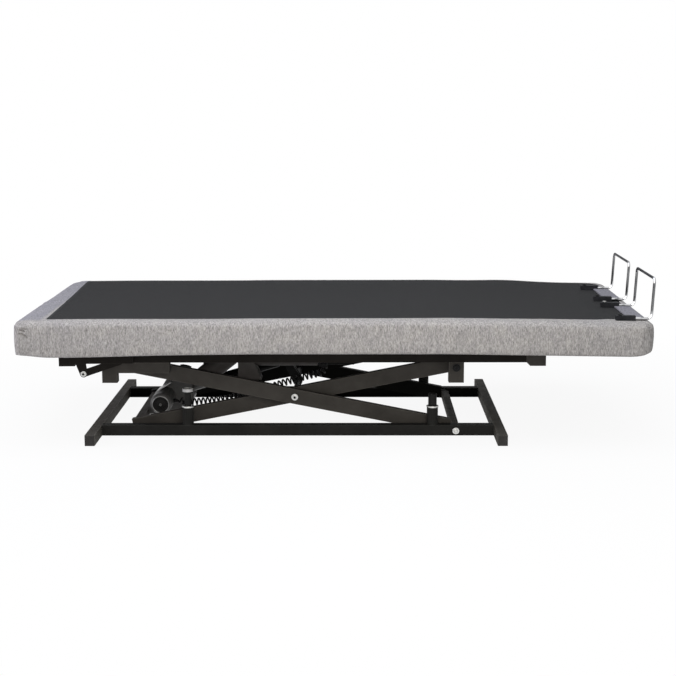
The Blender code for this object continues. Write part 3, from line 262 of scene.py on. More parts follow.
def soften(piece, width, segments=2, angle=40):
    only(piece)
    bevel = piece.modifiers.new("soft edges", "BEVEL")
    bevel.width = width
    bevel.segments = segments
    bevel.limit_method = "ANGLE"
    bevel.angle_limit = math.radians(angle)
    bpy.ops.object.modifier_apply(modifier=bevel.name)
    smooth(piece)
    return piece


def smooth(piece, angle=35):
    only(piece)
    bpy.ops.object.shade_smooth_by_angle(angle=math.radians(angle))
    return piece


def join(first, *others):
    only(first)
    for other in others:
        other.select_set(True)
    bpy.ops.object.join()
    return first


def mirrored(piece, name):
    """A copy with its own mesh, mirrored across the object's middle plane."""
    only(piece)
    bpy.ops.object.duplicate(linked=False)
    twin = bpy.context.object
    twin.scale = (1, -1, 1)
    settle(twin, name)
    bpy.ops.object.mode_set(mode="EDIT")
    out_of_edit(twin)
    return twin


def collar(name, middle, axis, inner, outer, depth, sides=40):
    """A ring with a bore through it."""
    ring = disc(name, middle, axis, outer, depth, sides)
    along = {"X": 0, "Y": 1, "Z": 2}[axis]
    pick(ring, lambda c, n: abs(n[along]) > 0.9)
    bpy.ops.mesh.inset(thickness=outer - inner, depth=0, use_individual=True)
    bpy.ops.mesh.delete(type="FACE")
    bpy.ops.mesh.select_mode(type="EDGE")
    bpy.ops.mesh.select_non_manifold()
    bpy.ops.mesh.bridge_edge_loops()
    out_of_edit(ring)
    return ring


def ease(value, start=0.0, over=1.0):
    """A smooth step from 0, at the start, to 1, over a length that is negative where the step goes back."""
    share = min(1, max(0, (value - start) / over))
    return share * share * (3 - 2 * share)


def hill(value, middle, width):
    """A smooth hill that is 1 high at its middle."""
    return math.exp(-((value - middle) / width) ** 2)


def drooped(point):
    """Where a point of the level deck lies, with the droop of its two ends."""
    x, y, z = point
    for (hinge_x, hinge_z), droop, heading, reach in (
        (BACK_HINGE, BACK_DROOP, -1, HINGE_REACH), (KNEE_HINGE, FOOT_DROOP, 1, KNEE_REACH),
    ):
        dx, dz = x - hinge_x, z - hinge_z
        lean = droop * ease(heading * dx, -reach, 2 * reach)
        if lean:
            x = hinge_x + dx * math.cos(lean) + dz * math.sin(lean)
            z = hinge_z - dx * math.sin(lean) + dz * math.cos(lean)
    return Vector((x, y, z))


def let_droop(piece):
    for vertex in piece.data.vertices:
        vertex.co = drooped(vertex.co)
    return piece


# Materials
# How wide the edges of the powder paint are painted lighter, for wear and for painted highlights
EDGE_WEAR_AND_HIGHLIGHT = 0.0040
# The lift actuator's tube, from where it leaves the gear case, is painted darker, as painted shade
LIFT_TUBE_FROM = -0.470
TUBE_FADE = 0.010
TUBE_SHADE_COLOUR = (0.0045, 0.0045, 0.0043)
TUBE_GLOSS = 0.04
# Painted highlights on the loops: brighter along their feet and round their bends
LOOP_FEET_Z = (0.440, 0.424)
LOOP_BEND_Z = (0.522, 0.532)
LOOP_BEND_WIDE = (0.016, 0.008)
LOOP_BEND_HIGHLIGHT = 0.55
# Painted shade: the cloth at the head end, short of its near edge, is darkened and tinted blue for the
# weaker, cooler light that falls there
HEAD_SHADE_X = (-0.934, -0.944)
HEAD_SHADE_Y = (-0.454, -0.430)
HEAD_SHADE_TINT = (0.77, 0.785, 0.865)
WEAVE_PITCH = 0.0026
# The top panel's knots and the stitches of its hem
KNOT_PITCH = 0.0030
STITCH_PITCH = 0.0060
STITCH_SHARE = 0.62
STITCH_HALF_WIDTH = 0.0008


# Where a mixing node of colours has its factor, its two colours and its result
MIX_FACTOR, MIX_A, MIX_B, MIX_RESULT = 0, 6, 7, 2


class Nodes:
    """The nodes of a material or of the surround, added one after another."""

    def __init__(self, owner):
        owner.use_nodes = True
        self.tree = owner.node_tree

    def add(self, kind, inputs=None, **settings):
        """A node with its settings and inputs; an input is a constant, or another node's output."""
        node = self.tree.nodes.new(kind)
        for key, value in settings.items():
            setattr(node, key, value)
        self.fill(node, inputs or {})
        return node

    def fill(self, node, inputs):
        for key, value in inputs.items():
            if isinstance(value, bpy.types.NodeSocket):
                self.tree.links.new(value, node.inputs[key])
            else:
                node.inputs[key].default_value = value


class Finish(Nodes):
    """A material, with the steps that many materials share."""

    def __init__(self, name):
        self.material = bpy.data.materials.new(name)
        super().__init__(self.material)
        self.shader = self.tree.nodes["Principled BSDF"]
        self.place = self.add("ShaderNodeTexCoord").outputs["Object"]

    def done(self, bump, **inputs):
        """Fills the shader's inputs and gives the material; the bump is a height, strength and distance."""
        raised = self.add("ShaderNodeBump", dict(zip(("Height", "Strength", "Distance"), bump)))
        self.fill(self.shader, {key.replace("_", " "): value for key, value in inputs.items()})
        self.fill(self.shader, {"Normal": raised.outputs["Normal"]})
        return self.material

    def axes(self, vector=None):
        """The three coordinates of a place, one by one."""
        return tuple(self.add("ShaderNodeSeparateXYZ", {"Vector": vector or self.place}).outputs)

    def stretched(self, scale, turned=(0, 0, 0)):
        mapping = self.add("ShaderNodeMapping", {"Vector": self.place, "Scale": scale, "Rotation": turned})
        return mapping.outputs["Vector"]

    def noise(self, size, detail=2.0, roughness=0.5, vector=None):
        """Noise whose grains are about that size, in metres."""
        return self.add("ShaderNodeTexNoise", {
            "Vector": vector or self.place, "Scale": 1 / size, "Detail": detail, "Roughness": roughness,
        }).outputs["Fac"]

    def ramp(self, value, *stops):
        """Colours or greys, each at its place between 0 and 1 of a value."""
        node = self.add("ShaderNodeValToRGB", {"Fac": value})
        elements = node.color_ramp.elements
        while len(elements) < len(stops):
            elements.new(0.5)
        for element, (at, colour) in zip(elements, stops):
            element.position = at
            element.color = (*colour, 1) if hasattr(colour, "__len__") else (colour,) * 3 + (1,)
        return node.outputs["Color"]

    def math(self, operation, *values):
        return self.add("ShaderNodeMath", dict(enumerate(values)), operation=operation).outputs[0]

    def mix(self, factor, a, b, blend="MIX"):
        """A colour, mixed with another one or multiplied by it."""
        other = b if isinstance(b, bpy.types.NodeSocket) else (*b, 1)
        inputs = {MIX_FACTOR: factor, MIX_A: a, MIX_B: other}
        return self.add("ShaderNodeMix", inputs, data_type="RGBA", blend_type=blend).outputs[MIX_RESULT]

    def rise(self, value, start, end, low=0.0, high=1.0):
        """Low where the value is at the start or before it, and high at the end or past it."""
        return self.add("ShaderNodeMapRange", {
            "Value": value, "From Min": start, "From Max": end, "To Min": low, "To Max": high,
        }).outputs["Result"]

    def spread(self, value, low, high):
        """A number between low and high, as the value goes from a quarter to three quarters."""
        return self.rise(value, 0.25, 0.75, low, high)

    def away(self, value, place):
        """How far a coordinate is from a place, to either side."""
        return self.math("ABSOLUTE", self.math("SUBTRACT", value, place))

    def wave(self, value, pitch):
        return self.math("SINE", self.math("MULTIPLY", value, 2 * math.pi / pitch))

    def edges(self, width):
        """1 along a piece's sharp edges, as wide as that, and 0 on its flat faces."""
        rounded = self.add("ShaderNodeBevel", {"Radius": width}, samples=4).outputs["Normal"]
        true = self.add("ShaderNodeNewGeometry").outputs["Normal"]
        along = self.add("ShaderNodeVectorMath", {0: rounded, 1: true}, operation="DOT_PRODUCT")
        return self.rise(along.outputs["Value"], 0.995, 0.86)


def powder_coat(name, colour, low, high, gloss=0.06):
    """Baked powder paint on steel: a fine orange peel, a little dust, and edges painted lighter, both as
    rubbed wear and as painted highlights where they catch the light.
    """
    f = Finish(name)
    light = tuple(1.4 * c + 0.002 for c in colour)
    paint = f.ramp(f.noise(0.09, 4, 0.6), (0.32, colour), (0.72, light))
    # Painted highlight and wear: lighter along sharp edges, in patches
    painted_bright = f.math("MULTIPLY", f.edges(EDGE_WEAR_AND_HIGHLIGHT), f.spread(f.noise(0.022, 3, 0.6), 0.45, 1.0))
    return f.done(
        (f.noise(0.0016, 2), 0.18, 0.0006),
        Base_Color=f.mix(painted_bright, paint, [2.6 * c + 0.006 for c in colour]),
        Roughness=f.spread(f.noise(0.030, 3), low, high),
        Specular_IOR_Level=gloss,
    )


def zinc_plate(name):
    """Bright zinc on bolts and nuts, with its cloudy patches."""
    f = Finish(name)
    clouds = f.noise(0.004, 4, 0.65)
    return f.done(
        (f.noise(0.0008, 2), 0.15, 0.0003),
        Base_Color=f.ramp(clouds, (0.30, (0.46, 0.46, 0.45)), (0.70, (0.74, 0.74, 0.72))),
        Roughness=f.spread(f.noise(0.0025, 3), 0.24, 0.46),
        Metallic=1.0,
    )


def chrome_with_painted_reflections(name):
    """Chrome on wire with painted reflections: dark all over, as painted dark reflections, and brighter along
    its feet and round its bends, as painted highlights.
    """
    f = Finish(name)
    _, y, z = f.axes()
    # Painted highlights: brighter along the loops' feet and round their bends
    painted_bright = f.rise(z, *LOOP_FEET_Z)
    for clamp_y in CLAMP_YS:
        bend = f.math("MULTIPLY", f.rise(f.away(y, clamp_y), *LOOP_BEND_WIDE), f.rise(z, *LOOP_BEND_Z))
        painted_bright = f.math("MAXIMUM", painted_bright, f.math("MULTIPLY", bend, LOOP_BEND_HIGHLIGHT))
    # Painted reflection: the chrome's colour is dark for the dark surroundings mirrored in it, and bright
    # where highlights are painted
    dark = f.ramp(f.noise(0.03, 3), (0.3, (0.125, 0.127, 0.130)), (0.7, (0.205, 0.208, 0.212)))
    bright = f.ramp(f.noise(0.02, 3), (0.3, (0.56, 0.565, 0.58)), (0.7, (0.76, 0.765, 0.78)))
    return f.done(
        (f.noise(0.004, 2), 0.05, 0.0002),
        Base_Color=f.mix(painted_bright, dark, bright), Roughness=f.spread(f.noise(0.010, 4, 0.6), 0.05, 0.14),
        Metallic=1.0, Specular_Tint=(0.30, 0.30, 0.31, 1),
    )


def drawn_steel(name, dark, light):
    """Ground steel, with fine marks along it."""
    f = Finish(name)
    marks = f.noise(0.0012, 3, 0.6, f.stretched((0.08, 1, 1)))
    return f.done(
        (marks, 0.10, 0.0002),
        Base_Color=f.ramp(marks, (0.30, dark), (0.70, (light, light, 0.97 * light))),
        Roughness=f.spread(marks, 0.26, 0.42),
        Metallic=1.0,
    )


def moulded_black(name, colour, grain, low, high, gloss=0.12, tube_from=None):
    """Black moulded plastic or rubber with its eroded grain; an actuator's tube can be painted darker than
    its case, as painted shade.
    """
    f = Finish(name)
    light = tuple(1.4 * c + 0.003 for c in colour)
    plastic = f.ramp(f.noise(0.04, 4, 0.6), (0.3, colour), (0.75, light))
    if tube_from is not None:
        x, _, _ = f.axes()
        ends = (tube_from, tube_from + TUBE_FADE)
        # Painted shade: the tube past the gear case turns near black
        plastic = f.mix(f.rise(x, *ends), plastic, TUBE_SHADE_COLOUR)
        gloss = f.rise(x, *ends, gloss, TUBE_GLOSS)
    return f.done(
        (f.noise(grain, 3, 0.6), 0.30, 0.0005),
        Base_Color=plastic,
        Roughness=f.spread(f.noise(0.006, 3), low, high),
        Specular_IOR_Level=gloss,
    )


def pale_plastic(name):
    """Off-white plastic, a little worn."""
    f = Finish(name)
    return f.done(
        (f.noise(0.001, 2), 0.12, 0.0003),
        Base_Color=f.ramp(f.noise(0.02, 4, 0.6), (0.3, (0.40, 0.40, 0.39)), (0.7, (0.54, 0.54, 0.53))),
        Roughness=f.spread(f.noise(0.004, 3), 0.38, 0.55),
    )


def retainer_finish(name):
    """The retainer's base plate is grey enamel, and the clamps on it are black."""
    f = Finish(name)
    _, y, _ = f.axes()
    on_clamp = 0
    for clamp_y in CLAMP_YS:
        on_clamp = f.math("MAXIMUM", on_clamp, f.math("LESS_THAN", f.away(y, clamp_y), CLAMP_HALF_WIDTH))
    grey = f.ramp(f.noise(0.0045, 3, 0.6), (0.32, (0.118, 0.115, 0.130)), (0.68, (0.275, 0.268, 0.292)))
    black = f.ramp(f.noise(0.02, 3), (0.3, (0.0175, 0.0180, 0.0200)), (0.7, (0.0310, 0.0315, 0.0345)))
    return f.done(
        (f.noise(0.0014, 2), 0.14, 0.0004),
        Base_Color=f.mix(on_clamp, grey, black), Roughness=f.spread(f.noise(0.015, 3), 0.58, 0.74),
        Specular_IOR_Level=0.05,
    )


def tweed(name):
    """The cover's cloth: a grey tweed with slubs that run up and down its sides, on a coarse weave."""
    f = Finish(name)
    x, y, z = f.axes()
    slubs = f.noise(0.0030, 3, 0.62, f.stretched((1.0, 0.7, 0.30)))
    threads = f.noise(0.0013, 2, 0.6, f.stretched((1.0, 0.9, 0.6)))
    streaks = f.noise(0.0064, 3, 0.6, f.stretched((1.0, 0.8, 0.26)))
    patches = f.noise(0.055, 4, 0.6)
    cloth = f.ramp(
        slubs, (0.28, (0.180, 0.172, 0.163)), (0.45, (0.325, 0.313, 0.299)),
        (0.60, (0.415, 0.400, 0.382)), (0.76, (0.565, 0.546, 0.523)),
    )
    for share, tones in (
        (0.9, f.ramp(streaks, (0.32, (0.80, 0.80, 0.80)), (0.68, (1.20, 1.19, 1.18)))),
        (0.65, f.ramp(threads, (0.32, 0.80), (0.66, 1.10))),
        (0.55, f.ramp(patches, (0.3, (0.90, 0.90, 0.93)), (0.7, (1.07, 1.06, 1.04)))),
    ):
        cloth = f.mix(share, cloth, tones, "MULTIPLY")
    # Painted shade: the cloth at the head end is multiplied darker and bluer
    in_head_shade = f.math("MULTIPLY", f.rise(x, *HEAD_SHADE_X), f.rise(y, *HEAD_SHADE_Y))
    cloth = f.mix(in_head_shade, cloth, HEAD_SHADE_TINT, "MULTIPLY")
    weave = f.math("MULTIPLY", f.wave(f.math("ADD", x, y), WEAVE_PITCH), f.wave(z, WEAVE_PITCH))
    height = f.math("ADD", f.math("MULTIPLY", weave, 0.16), f.math("ADD", slubs, threads))
    return f.done(
        (height, 0.55, 0.0012),
        Base_Color=cloth, Roughness=f.spread(patches, 0.86, 0.98), Specular_IOR_Level=0.05,
    )


def panel_cloth(name):
    """Black non-slip cloth of the top panel, with a stitched line along its hem."""
    f = Finish(name)
    x, y, _ = f.axes()
    knots = f.math("MULTIPLY", f.wave(x, KNOT_PITCH), f.wave(y, KNOT_PITCH))
    lint = f.noise(0.0022, 3, 0.65)
    patches = f.noise(0.10, 4, 0.6)
    cloth = f.ramp(lint, (0.30, (0.018, 0.018, 0.0183)), (0.72, (0.038, 0.038, 0.038)))
    cloth = f.mix(0.5, cloth, f.ramp(patches, (0.3, 0.80), (0.7, 1.20)), "MULTIPLY")
    along, inwards, _ = f.axes(f.add("ShaderNodeUVMap", uv_map="hem").outputs["UV"])
    line = f.math("LESS_THAN", f.away(inwards, PANEL_HEM), STITCH_HALF_WIDTH)
    dash = f.math("LESS_THAN", f.math("FRACT", f.math("DIVIDE", along, STITCH_PITCH)), STITCH_SHARE)
    stitch = f.math("MULTIPLY", line, dash)
    raised = f.math("ADD", lint, f.math("MULTIPLY", stitch, 0.8))
    return f.done(
        (f.math("ADD", f.math("MULTIPLY", knots, 0.22), raised), 0.45, 0.0010),
        Base_Color=f.mix(stitch, cloth, (0.085, 0.085, 0.087)),
        Roughness=f.spread(patches, 0.80, 0.94),
        Specular_IOR_Level=0.04,
    )


def dust_cloth(name):
    """Thin black felt under the deck."""
    f = Finish(name)
    fibres = f.noise(0.0030, 4, 0.7, f.stretched((1.0, 0.4, 1.0), (0, 0, 0.6)))
    return f.done(
        (fibres, 0.35, 0.0008),
        Base_Color=f.ramp(fibres, (0.3, (0.012, 0.012, 0.012)), (0.7, (0.030, 0.030, 0.030))),
        Roughness=f.spread(f.noise(0.02, 3), 0.84, 0.97),
        Specular_IOR_Level=0.15,
    )


frame_paint = powder_coat("frame_satin_black", (0.0440, 0.0405, 0.0355), 0.58, 0.74)
# Painted shade: a darker copy of the frame paint for the floor rails and buffer sleeves under the deck
low_shaded_paint = powder_coat("low_frame_black_painted_shade", (0.0155, 0.0153, 0.0140), 0.55, 0.70)
# Painted light: a lighter copy of the frame paint for the cross feet and the outer arms' cross tube, where
# light falls on them
lit_copy_paint = powder_coat("frame_black_painted_light", (0.0570, 0.0535, 0.0465), 0.58, 0.74)
# Painted shade: a darker copy of the frame paint for the carriage rails, back brace and leg actuator hanger
# in the deck's shadow
under_deck_shaded_paint = powder_coat("under_deck_black_painted_shade", (0.0108, 0.0092, 0.0076), 0.55, 0.70)
# Painted shade: a much darker copy of the frame paint for the far side and the carriage's head tube, in deep
# shade
deep_shaded_paint = powder_coat("black_painted_deep_shade", (0.0044, 0.0043, 0.0036), 0.60, 0.75, 0.04)
zinc = zinc_plate("zinc_plated_steel")
rod_steel = drawn_steel("ground_steel", 0.045, 0.085)
black_steel = powder_coat("blacked_steel", (0.0072, 0.0072, 0.0074), 0.42, 0.58, 0.08)
dull_steel = drawn_steel("dull_steel", 0.20, 0.36)
worn_steel = drawn_steel("worn_steel", 0.070, 0.135)
chrome = chrome_with_painted_reflections("chrome_wire_painted_reflections")
retainer_grey = retainer_finish("retainer_enamel")
roller_black = moulded_black("roller_nylon", (0.008, 0.008, 0.008), 0.0016, 0.36, 0.52)
rubber = moulded_black("buffer_rubber", (0.010, 0.010, 0.0095), 0.0022, 0.55, 0.75)
# Painted light: the lift motor and its gear case are coloured a lighter grey than their black plastic, for
# the light they catch in the shade under the deck
motor_lit_black = moulded_black(
    "motor_plastic_painted_light", (0.0720, 0.0708, 0.0675), 0.0011, 0.34, 0.50, 0.40, LIFT_TUBE_FROM,
)
leg_motor_black = moulded_black("leg_motor_grained_plastic", (0.0540, 0.0495, 0.0460), 0.0011, 0.45, 0.60)
dark_plastic = moulded_black("dark_plastic", (0.0065, 0.0062, 0.0058), 0.0011, 0.45, 0.60)
cord_black = moulded_black("cord_jacket", (0.005, 0.005, 0.005), 0.0009, 0.46, 0.60)
cap_black = moulded_black("end_cap_plastic", (0.0285, 0.0268, 0.0250), 0.0012, 0.40, 0.58)
pale_cap = pale_plastic("pale_buffer_cup")
cover_tweed = tweed("cover_tweed")
top_cloth = panel_cloth("top_panel_cloth")
under_cloth = dust_cloth("underside_felt")


def painted(piece, finish):
    piece.data.materials.clear()
    piece.data.materials.append(finish)
    return piece


def finished(piece, finish, body, record_slot):
    """Gives a piece its finish, unless its parts already have theirs, and the body that it moves with."""
    if finish:
        painted(piece, finish)
    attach(piece, body)
    return piece


def built(mesh, name, *finishes):
    """Puts a mesh that was built point by point into the scene, as a piece of its own."""
    data = bpy.data.meshes.new(name)
    mesh.to_mesh(data)
    mesh.free()
    piece = bpy.data.objects.new(name, data)
    scene.collection.objects.link(piece)
    for finish in finishes:
        data.materials.append(finish)
    return smooth(piece, 50)


# Curly cord, from the lift motor up to the control box
def smooth_path(points, steps):
    """Points on a smooth curve through all the given ones but the first and last, which steer its ends."""
    path = []
    for before, start, end, after in zip(points, points[1:], points[2:], points[3:]):
        for step in range(steps):
            t = step / steps
            bend = 2 * before - 5 * start + 4 * end - after
            twist = 3 * start - before - 3 * end + after
            path.append(start + ((end - before) * t + bend * t * t + twist * t ** 3) / 2)
    path.append(points[-2])
    return path


def at_distance(path, distance):
    """The point and the heading at a distance along a path."""
    for start, end in zip(path, path[1:]):
        step = (end - start).length
        if distance <= step:
            break
        distance -= step
    heading = (end - start).normalized()
    return start + heading * distance, heading


def curly_points():
    low, high = Vector(CORD_START), Vector(CORD_END)
    between = [Vector((x, CORD_Y, z)) for x, z in CORD_ROUTE]
    steer_low = between[0] - Vector((4 * CORD_END_RUN, 0, 0))
    steer_high = between[-1] + Vector((0, 0, 4 * CORD_END_RUN))
    out_of_motor = low + Vector((CORD_END_RUN, 0, 0))
    up_to_box = high - Vector((0, 0, CORD_END_RUN))
    path = [low, *smooth_path([steer_low, out_of_motor, *between, up_to_box, steer_high], 10), high]
    length = sum((end - start).length for start, end in zip(path, path[1:]))
    straight = 2 * CORD_DIAMETER
    count = CURLS * POINTS_PER_CURL
    points = [path[0], at_distance(path, straight / 2)[0]]
    sideways = Vector((0, 1, 0))
    for step in range(count + 1):
        middle, heading = at_distance(path, straight + (length - 2 * straight) * step / count)
        opened = min(1, step / POINTS_PER_CURL, (count - step) / POINTS_PER_CURL)
        turned = 2 * math.pi * step / POINTS_PER_CURL
        spoke = heading.cross(sideways) * math.cos(turned) + sideways * math.sin(turned)
        points.append(middle + spoke * CURL_RADIUS * opened)
    return points + [at_distance(path, length - straight / 2)[0], path[-1]]


def make_curly_cord():
    points = curly_points()
    line = bpy.data.curves.new("cord_line", "CURVE")
    line.dimensions = "3D"
    line.bevel_depth = CORD_DIAMETER / 2
    line.bevel_resolution = 2
    line.use_fill_caps = True
    spline = line.splines.new("POLY")
    spline.points.add(len(points) - 1)
    for knot, point in zip(spline.points, points):
        knot.co = (*point, 1)
    cord = bpy.data.objects.new("curly_cord_tube", line)
    scene.collection.objects.link(cord)
    only(cord)
    bpy.ops.object.convert(target="MESH")
    cord = bpy.context.object
    cord.name = cord.data.name = "curly_cord_tube"
    smooth(cord, 60)
    cord.data.materials.append(cord_black)
    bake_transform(cord)
    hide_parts("curly_cord")


# Upholstery
def ellipse_fall(share):
    """How far a rounded edge has fallen, from 0 at its inner line to 1 at its outer one."""
    share = min(1, max(0, share))
    return 1 - math.sqrt(max(0, 1 - share * share))


def panel_near(x):
    return PANEL_NEAR + PANEL_DRIFT * (max(0, x) / PANEL_DRIFT_AT) ** 2


def panel_head(y):
    return PANEL_HEAD - PANEL_HEAD_SLOPE * (y - PANEL_HEAD_AT)


def panel_margins(x, y):
    """How far inside the top panel's ends and sides a point is, with its corners left square."""
    return min(x - panel_head(y), PANEL_FOOT - x), min(y - panel_near(x), PANEL_FAR - y)


def inside_panel(x, y):
    """How far inside the top panel's outline a point is, in metres; negative outside it."""
    end, side = panel_margins(x, y)
    radius = PANEL_CORNER if PANEL_FOOT - x < x - panel_head(y) else PANEL_HEAD_CORNER
    if end < radius and side < radius:
        return radius - math.hypot(radius - end, radius - side)
    return min(end, side)


def head_fullness(y):
    """How full the head end's edge is stuffed: 1 on the near half, and less towards its far corner."""
    return min(1, max(0, (HEAD_FULL[0] - y) / HEAD_FULL[1]))


def met(end, side, power):
    """The fall of an end and of a side, where they meet round a corner."""
    return (end ** power + side ** power) ** (1 / power)


def edge_fall(x, y):
    """How far the cover's top has fallen at its rounded edges."""
    end = max(0, 1 - (DECK_END - abs(x)) / (HEAD_ROUND if x < 0 else FOOT_ROUND))
    side = max(0, 1 - (DECK_SIDE - abs(y)) / (NEAR_ROUND if y < 0 else FAR_ROUND))
    depth = EDGE_FALL
    if x < 0 < end:
        depth += (HEAD_FALL - EDGE_FALL) * head_fullness(y) * end / (end + side)
    return depth * ellipse_fall(met(end, side, EDGE_POWER))


def top_height(x, y):
    """The cover's top, with the recess under the black panel left out."""
    height = DECK_TOP - TOP_GAP - edge_fall(x, y) + HEAD_RISE * ease(x, *HEAD_RISE_ALONG)
    rise = FAR_RISE * (1 - ease(x, *FAR_RISE_ENDS)) + SHIN_RISE * hill(x, *SHIN_ALONG)
    welt = sum(high * hill(y, HEAD_SEAM_Y, wide) for high, wide in HEAD_WELT)
    return height + rise * ease(y, *FAR_RISE_ACROSS) + welt * ease(x, *HEAD_WELT_ALONG)


def under_height(x, y):
    """The cover's underside: its hem hangs a little at the head end's sides, and lifts at the ends."""
    side = UNDER_ROUND * ellipse_fall(1 - (DECK_SIDE - abs(y)) / UNDER_ROUND)
    if x < 0:
        end = HEAD_UNDER_ROUND * ellipse_fall(1 - (DECK_END + x) / HEAD_UNDER_ROUND)
        side *= 1 - HEAD_UNDER_FLAT * ease(x, *HEAD_UNDER_ALONG)
    else:
        long, high = FOOT_UNDER_ROUND
        end = high * ellipse_fall(1 - (DECK_END - rounded_plan(x, y)[0]) / long)
    out = ease(abs(y), *HEM_ACROSS)
    hang = HEM_HANG * hill(x, *HEM_HANG_ALONG) * out
    lift = HEM_LIFT * ease(x, *HEM_LIFT_ALONG) * out
    return DECK_BOTTOM + met(side, end, UNDER_POWER) - hang + lift


def rounded_plan(x, y):
    """Rounds the deck's corners in plan, by pulling the corner squares into quarter circles."""
    radius = FOOT_CORNER if x > 0 else NEAR_HEAD_CORNER if y < 0 else FAR_HEAD_CORNER
    end, side = radius - (DECK_END - abs(x)), radius - (DECK_SIDE - abs(y))
    if end <= 0 or side <= 0:
        return x, y
    scale = max(end, side) / math.hypot(end, side)
    return (
        math.copysign(DECK_END - radius + end * scale, x),
        math.copysign(DECK_SIDE - radius + side * scale, y),
    )


def tuck_depth(x, z):
    """How deep the cover is folded in where it is tucked round its near head corner."""
    depth = 0
    for (x0, z0), (x1, z1), deep, wide in TUCKS:
        run, rise = x1 - x0, z1 - z0
        along = min(1, max(0, ((x - x0) * run + (z - z0) * rise) / (run * run + rise * rise)))
        off = math.hypot(x - x0 - run * along, z - z0 - rise * along)
        depth = max(depth, deep * hill(off, 0, wide))
    return depth


def cover_point(x, y, share):
    """A point of the cover, at a share of the height between its underside and its top."""
    sunk = PANEL_SINK * ease(inside_panel(x, y), -SINK_WIDTH, SINK_WIDTH)
    top, under = top_height(x, y) - sunk, under_height(x, y)
    z = under + (top - under) * share
    px, py = rounded_plan(x, y)
    edge = min(DECK_END - abs(x), DECK_SIDE - abs(y))
    if edge < HAIR and 0 < share < 1:
        on_end, on_side = DECK_END - abs(x) < HAIR, DECK_SIDE - abs(y) < HAIR
        out = Vector((math.copysign(on_end, x), math.copysign(on_side, y), 0))
        swell = SIDE_SWELL * math.sin(math.pi * share) ** 0.7
        ripple = noise.noise(Vector((x * 9, y * 9, z * 16))) * SIDE_RIPPLE
        pull = HEM_PULL * noise.noise(Vector((x * 46, y * 46, 3.0))) * (1 - share)
        if y < 0 and x < TUCKS_END:
            swell -= tuck_depth(x, z)
        if x < -DECK_END + HAIR:
            swell -= SEAM_DEPTH * hill(y, HEAD_SEAM_Y, SEAM_WIDTH)
        out.normalize()
        px += out.x * (swell + ripple + pull)
        py += out.y * (swell + ripple + pull)
    px -= HEAD_OUT * head_fullness(y) * ease(x, *HEAD_OUT_ALONG)
    if share == 1:
        z += TOP_RIPPLE * (noise.noise(Vector((x * 7, y * 7, 1.7))) - 1) * ease(edge, over=TOP_RIPPLE_FROM)
    return drooped((px, py, z))


def stations(low, high, step, *fine):
    """Places from low to high, a step apart, and closer round the given ones."""
    places = {low, high}
    count = max(1, round((high - low) / step))
    places.update(low + (high - low) * i / count for i in range(1, count))
    for middle, offsets in fine:
        places.update(middle + d for d in offsets if low < middle + d < high)
    kept = []
    for place in sorted(places):
        if not kept or place - kept[-1] > 0.0006:
            kept.append(place)
    if high - kept[-1] < 0.0006:
        kept[-1] = high
    else:
        kept.append(high)
    return kept


COVER_STEP_X = 0.011
COVER_STEP_Y = 0.013
FELT_MARGIN = 0.022
PANEL_COUNT = 72
EDGE_STEPS = (0.0004, 0.0014, 0.003, 0.0052, 0.008, 0.0115, 0.0155, 0.020, 0.025, 0.031, 0.038, 0.046, 0.054)
HEM_STEPS = (
    0, 0.0012, 0.003, 0.005, PANEL_HEM - 0.001, PANEL_HEM, PANEL_HEM + 0.001, 0.010, 0.015, 0.024, 0.038,
    0.055,
)
SEAM_STEPS = (-0.007, -0.0045, -0.003, -0.002, -0.001, 0, 0.001, 0.002, 0.003, 0.0045, 0.007)
TUCK_STEPS = [0.002 * i for i in range(-8, 9)]
SHARES = [i / 36 for i in range(37)]


def closed_box(mesh, end, side, top, point):
    """A closed box of faces, put in place point by point; gives its points and the faces under it."""
    at = {}

    def face(*corners):
        for corner in corners:
            if corner not in at:
                at[corner] = mesh.verts.new(point(*corner))
        return mesh.faces.new([at[corner] for corner in corners])

    under = []
    for i in range(end):
        for j in range(side):
            face((i, j, top), (i + 1, j, top), (i + 1, j + 1, top), (i, j + 1, top))
            under.append(face((i, j + 1, 0), (i + 1, j + 1, 0), (i + 1, j, 0), (i, j, 0)))
    for k in range(top):
        for i in range(end):
            face((i, 0, k), (i + 1, 0, k), (i + 1, 0, k + 1), (i, 0, k + 1))
            face((i + 1, side, k), (i, side, k), (i, side, k + 1), (i + 1, side, k + 1))
        for j in range(side):
            face((0, j + 1, k), (0, j, k), (0, j, k + 1), (0, j + 1, k + 1))
            face((end, j, k), (end, j + 1, k), (end, j + 1, k + 1), (end, j, k + 1))
    return at, under


def on_felt(vert):
    return DECK_END - abs(vert.co.x) > FELT_MARGIN and DECK_SIDE - abs(vert.co.y) > FELT_MARGIN


def cover_piece(name, low, high):
    """One padded piece of the cover."""
    xs = stations(
        low, high, COVER_STEP_X, (-DECK_END, EDGE_STEPS), (DECK_END, [-d for d in EDGE_STEPS]),
        (PANEL_FOOT, SEAM_STEPS), (BACK_HINGE[0], SEAM_STEPS), (TUCK_MIDDLE, TUCK_STEPS),
    )
    ys = stations(
        -DECK_SIDE, DECK_SIDE, COVER_STEP_Y, (-DECK_SIDE, EDGE_STEPS), (DECK_SIDE, [-d for d in EDGE_STEPS]),
        (HEAD_SEAM_Y, SEAM_STEPS), (panel_near(0), SEAM_STEPS), (panel_near(PANEL_DRIFT_AT), SEAM_STEPS),
        (PANEL_FAR, SEAM_STEPS),
    )
    mesh = bmesh.new()
    _, under = closed_box(
        mesh, len(xs) - 1, len(ys) - 1, len(SHARES) - 1,
        lambda i, j, k: cover_point(xs[i], ys[j], SHARES[k]),
    )
    for face in under:
        face.material_index = int(all(on_felt(vert) for vert in face.verts))
    return built(mesh, name, cover_tweed, under_cloth)


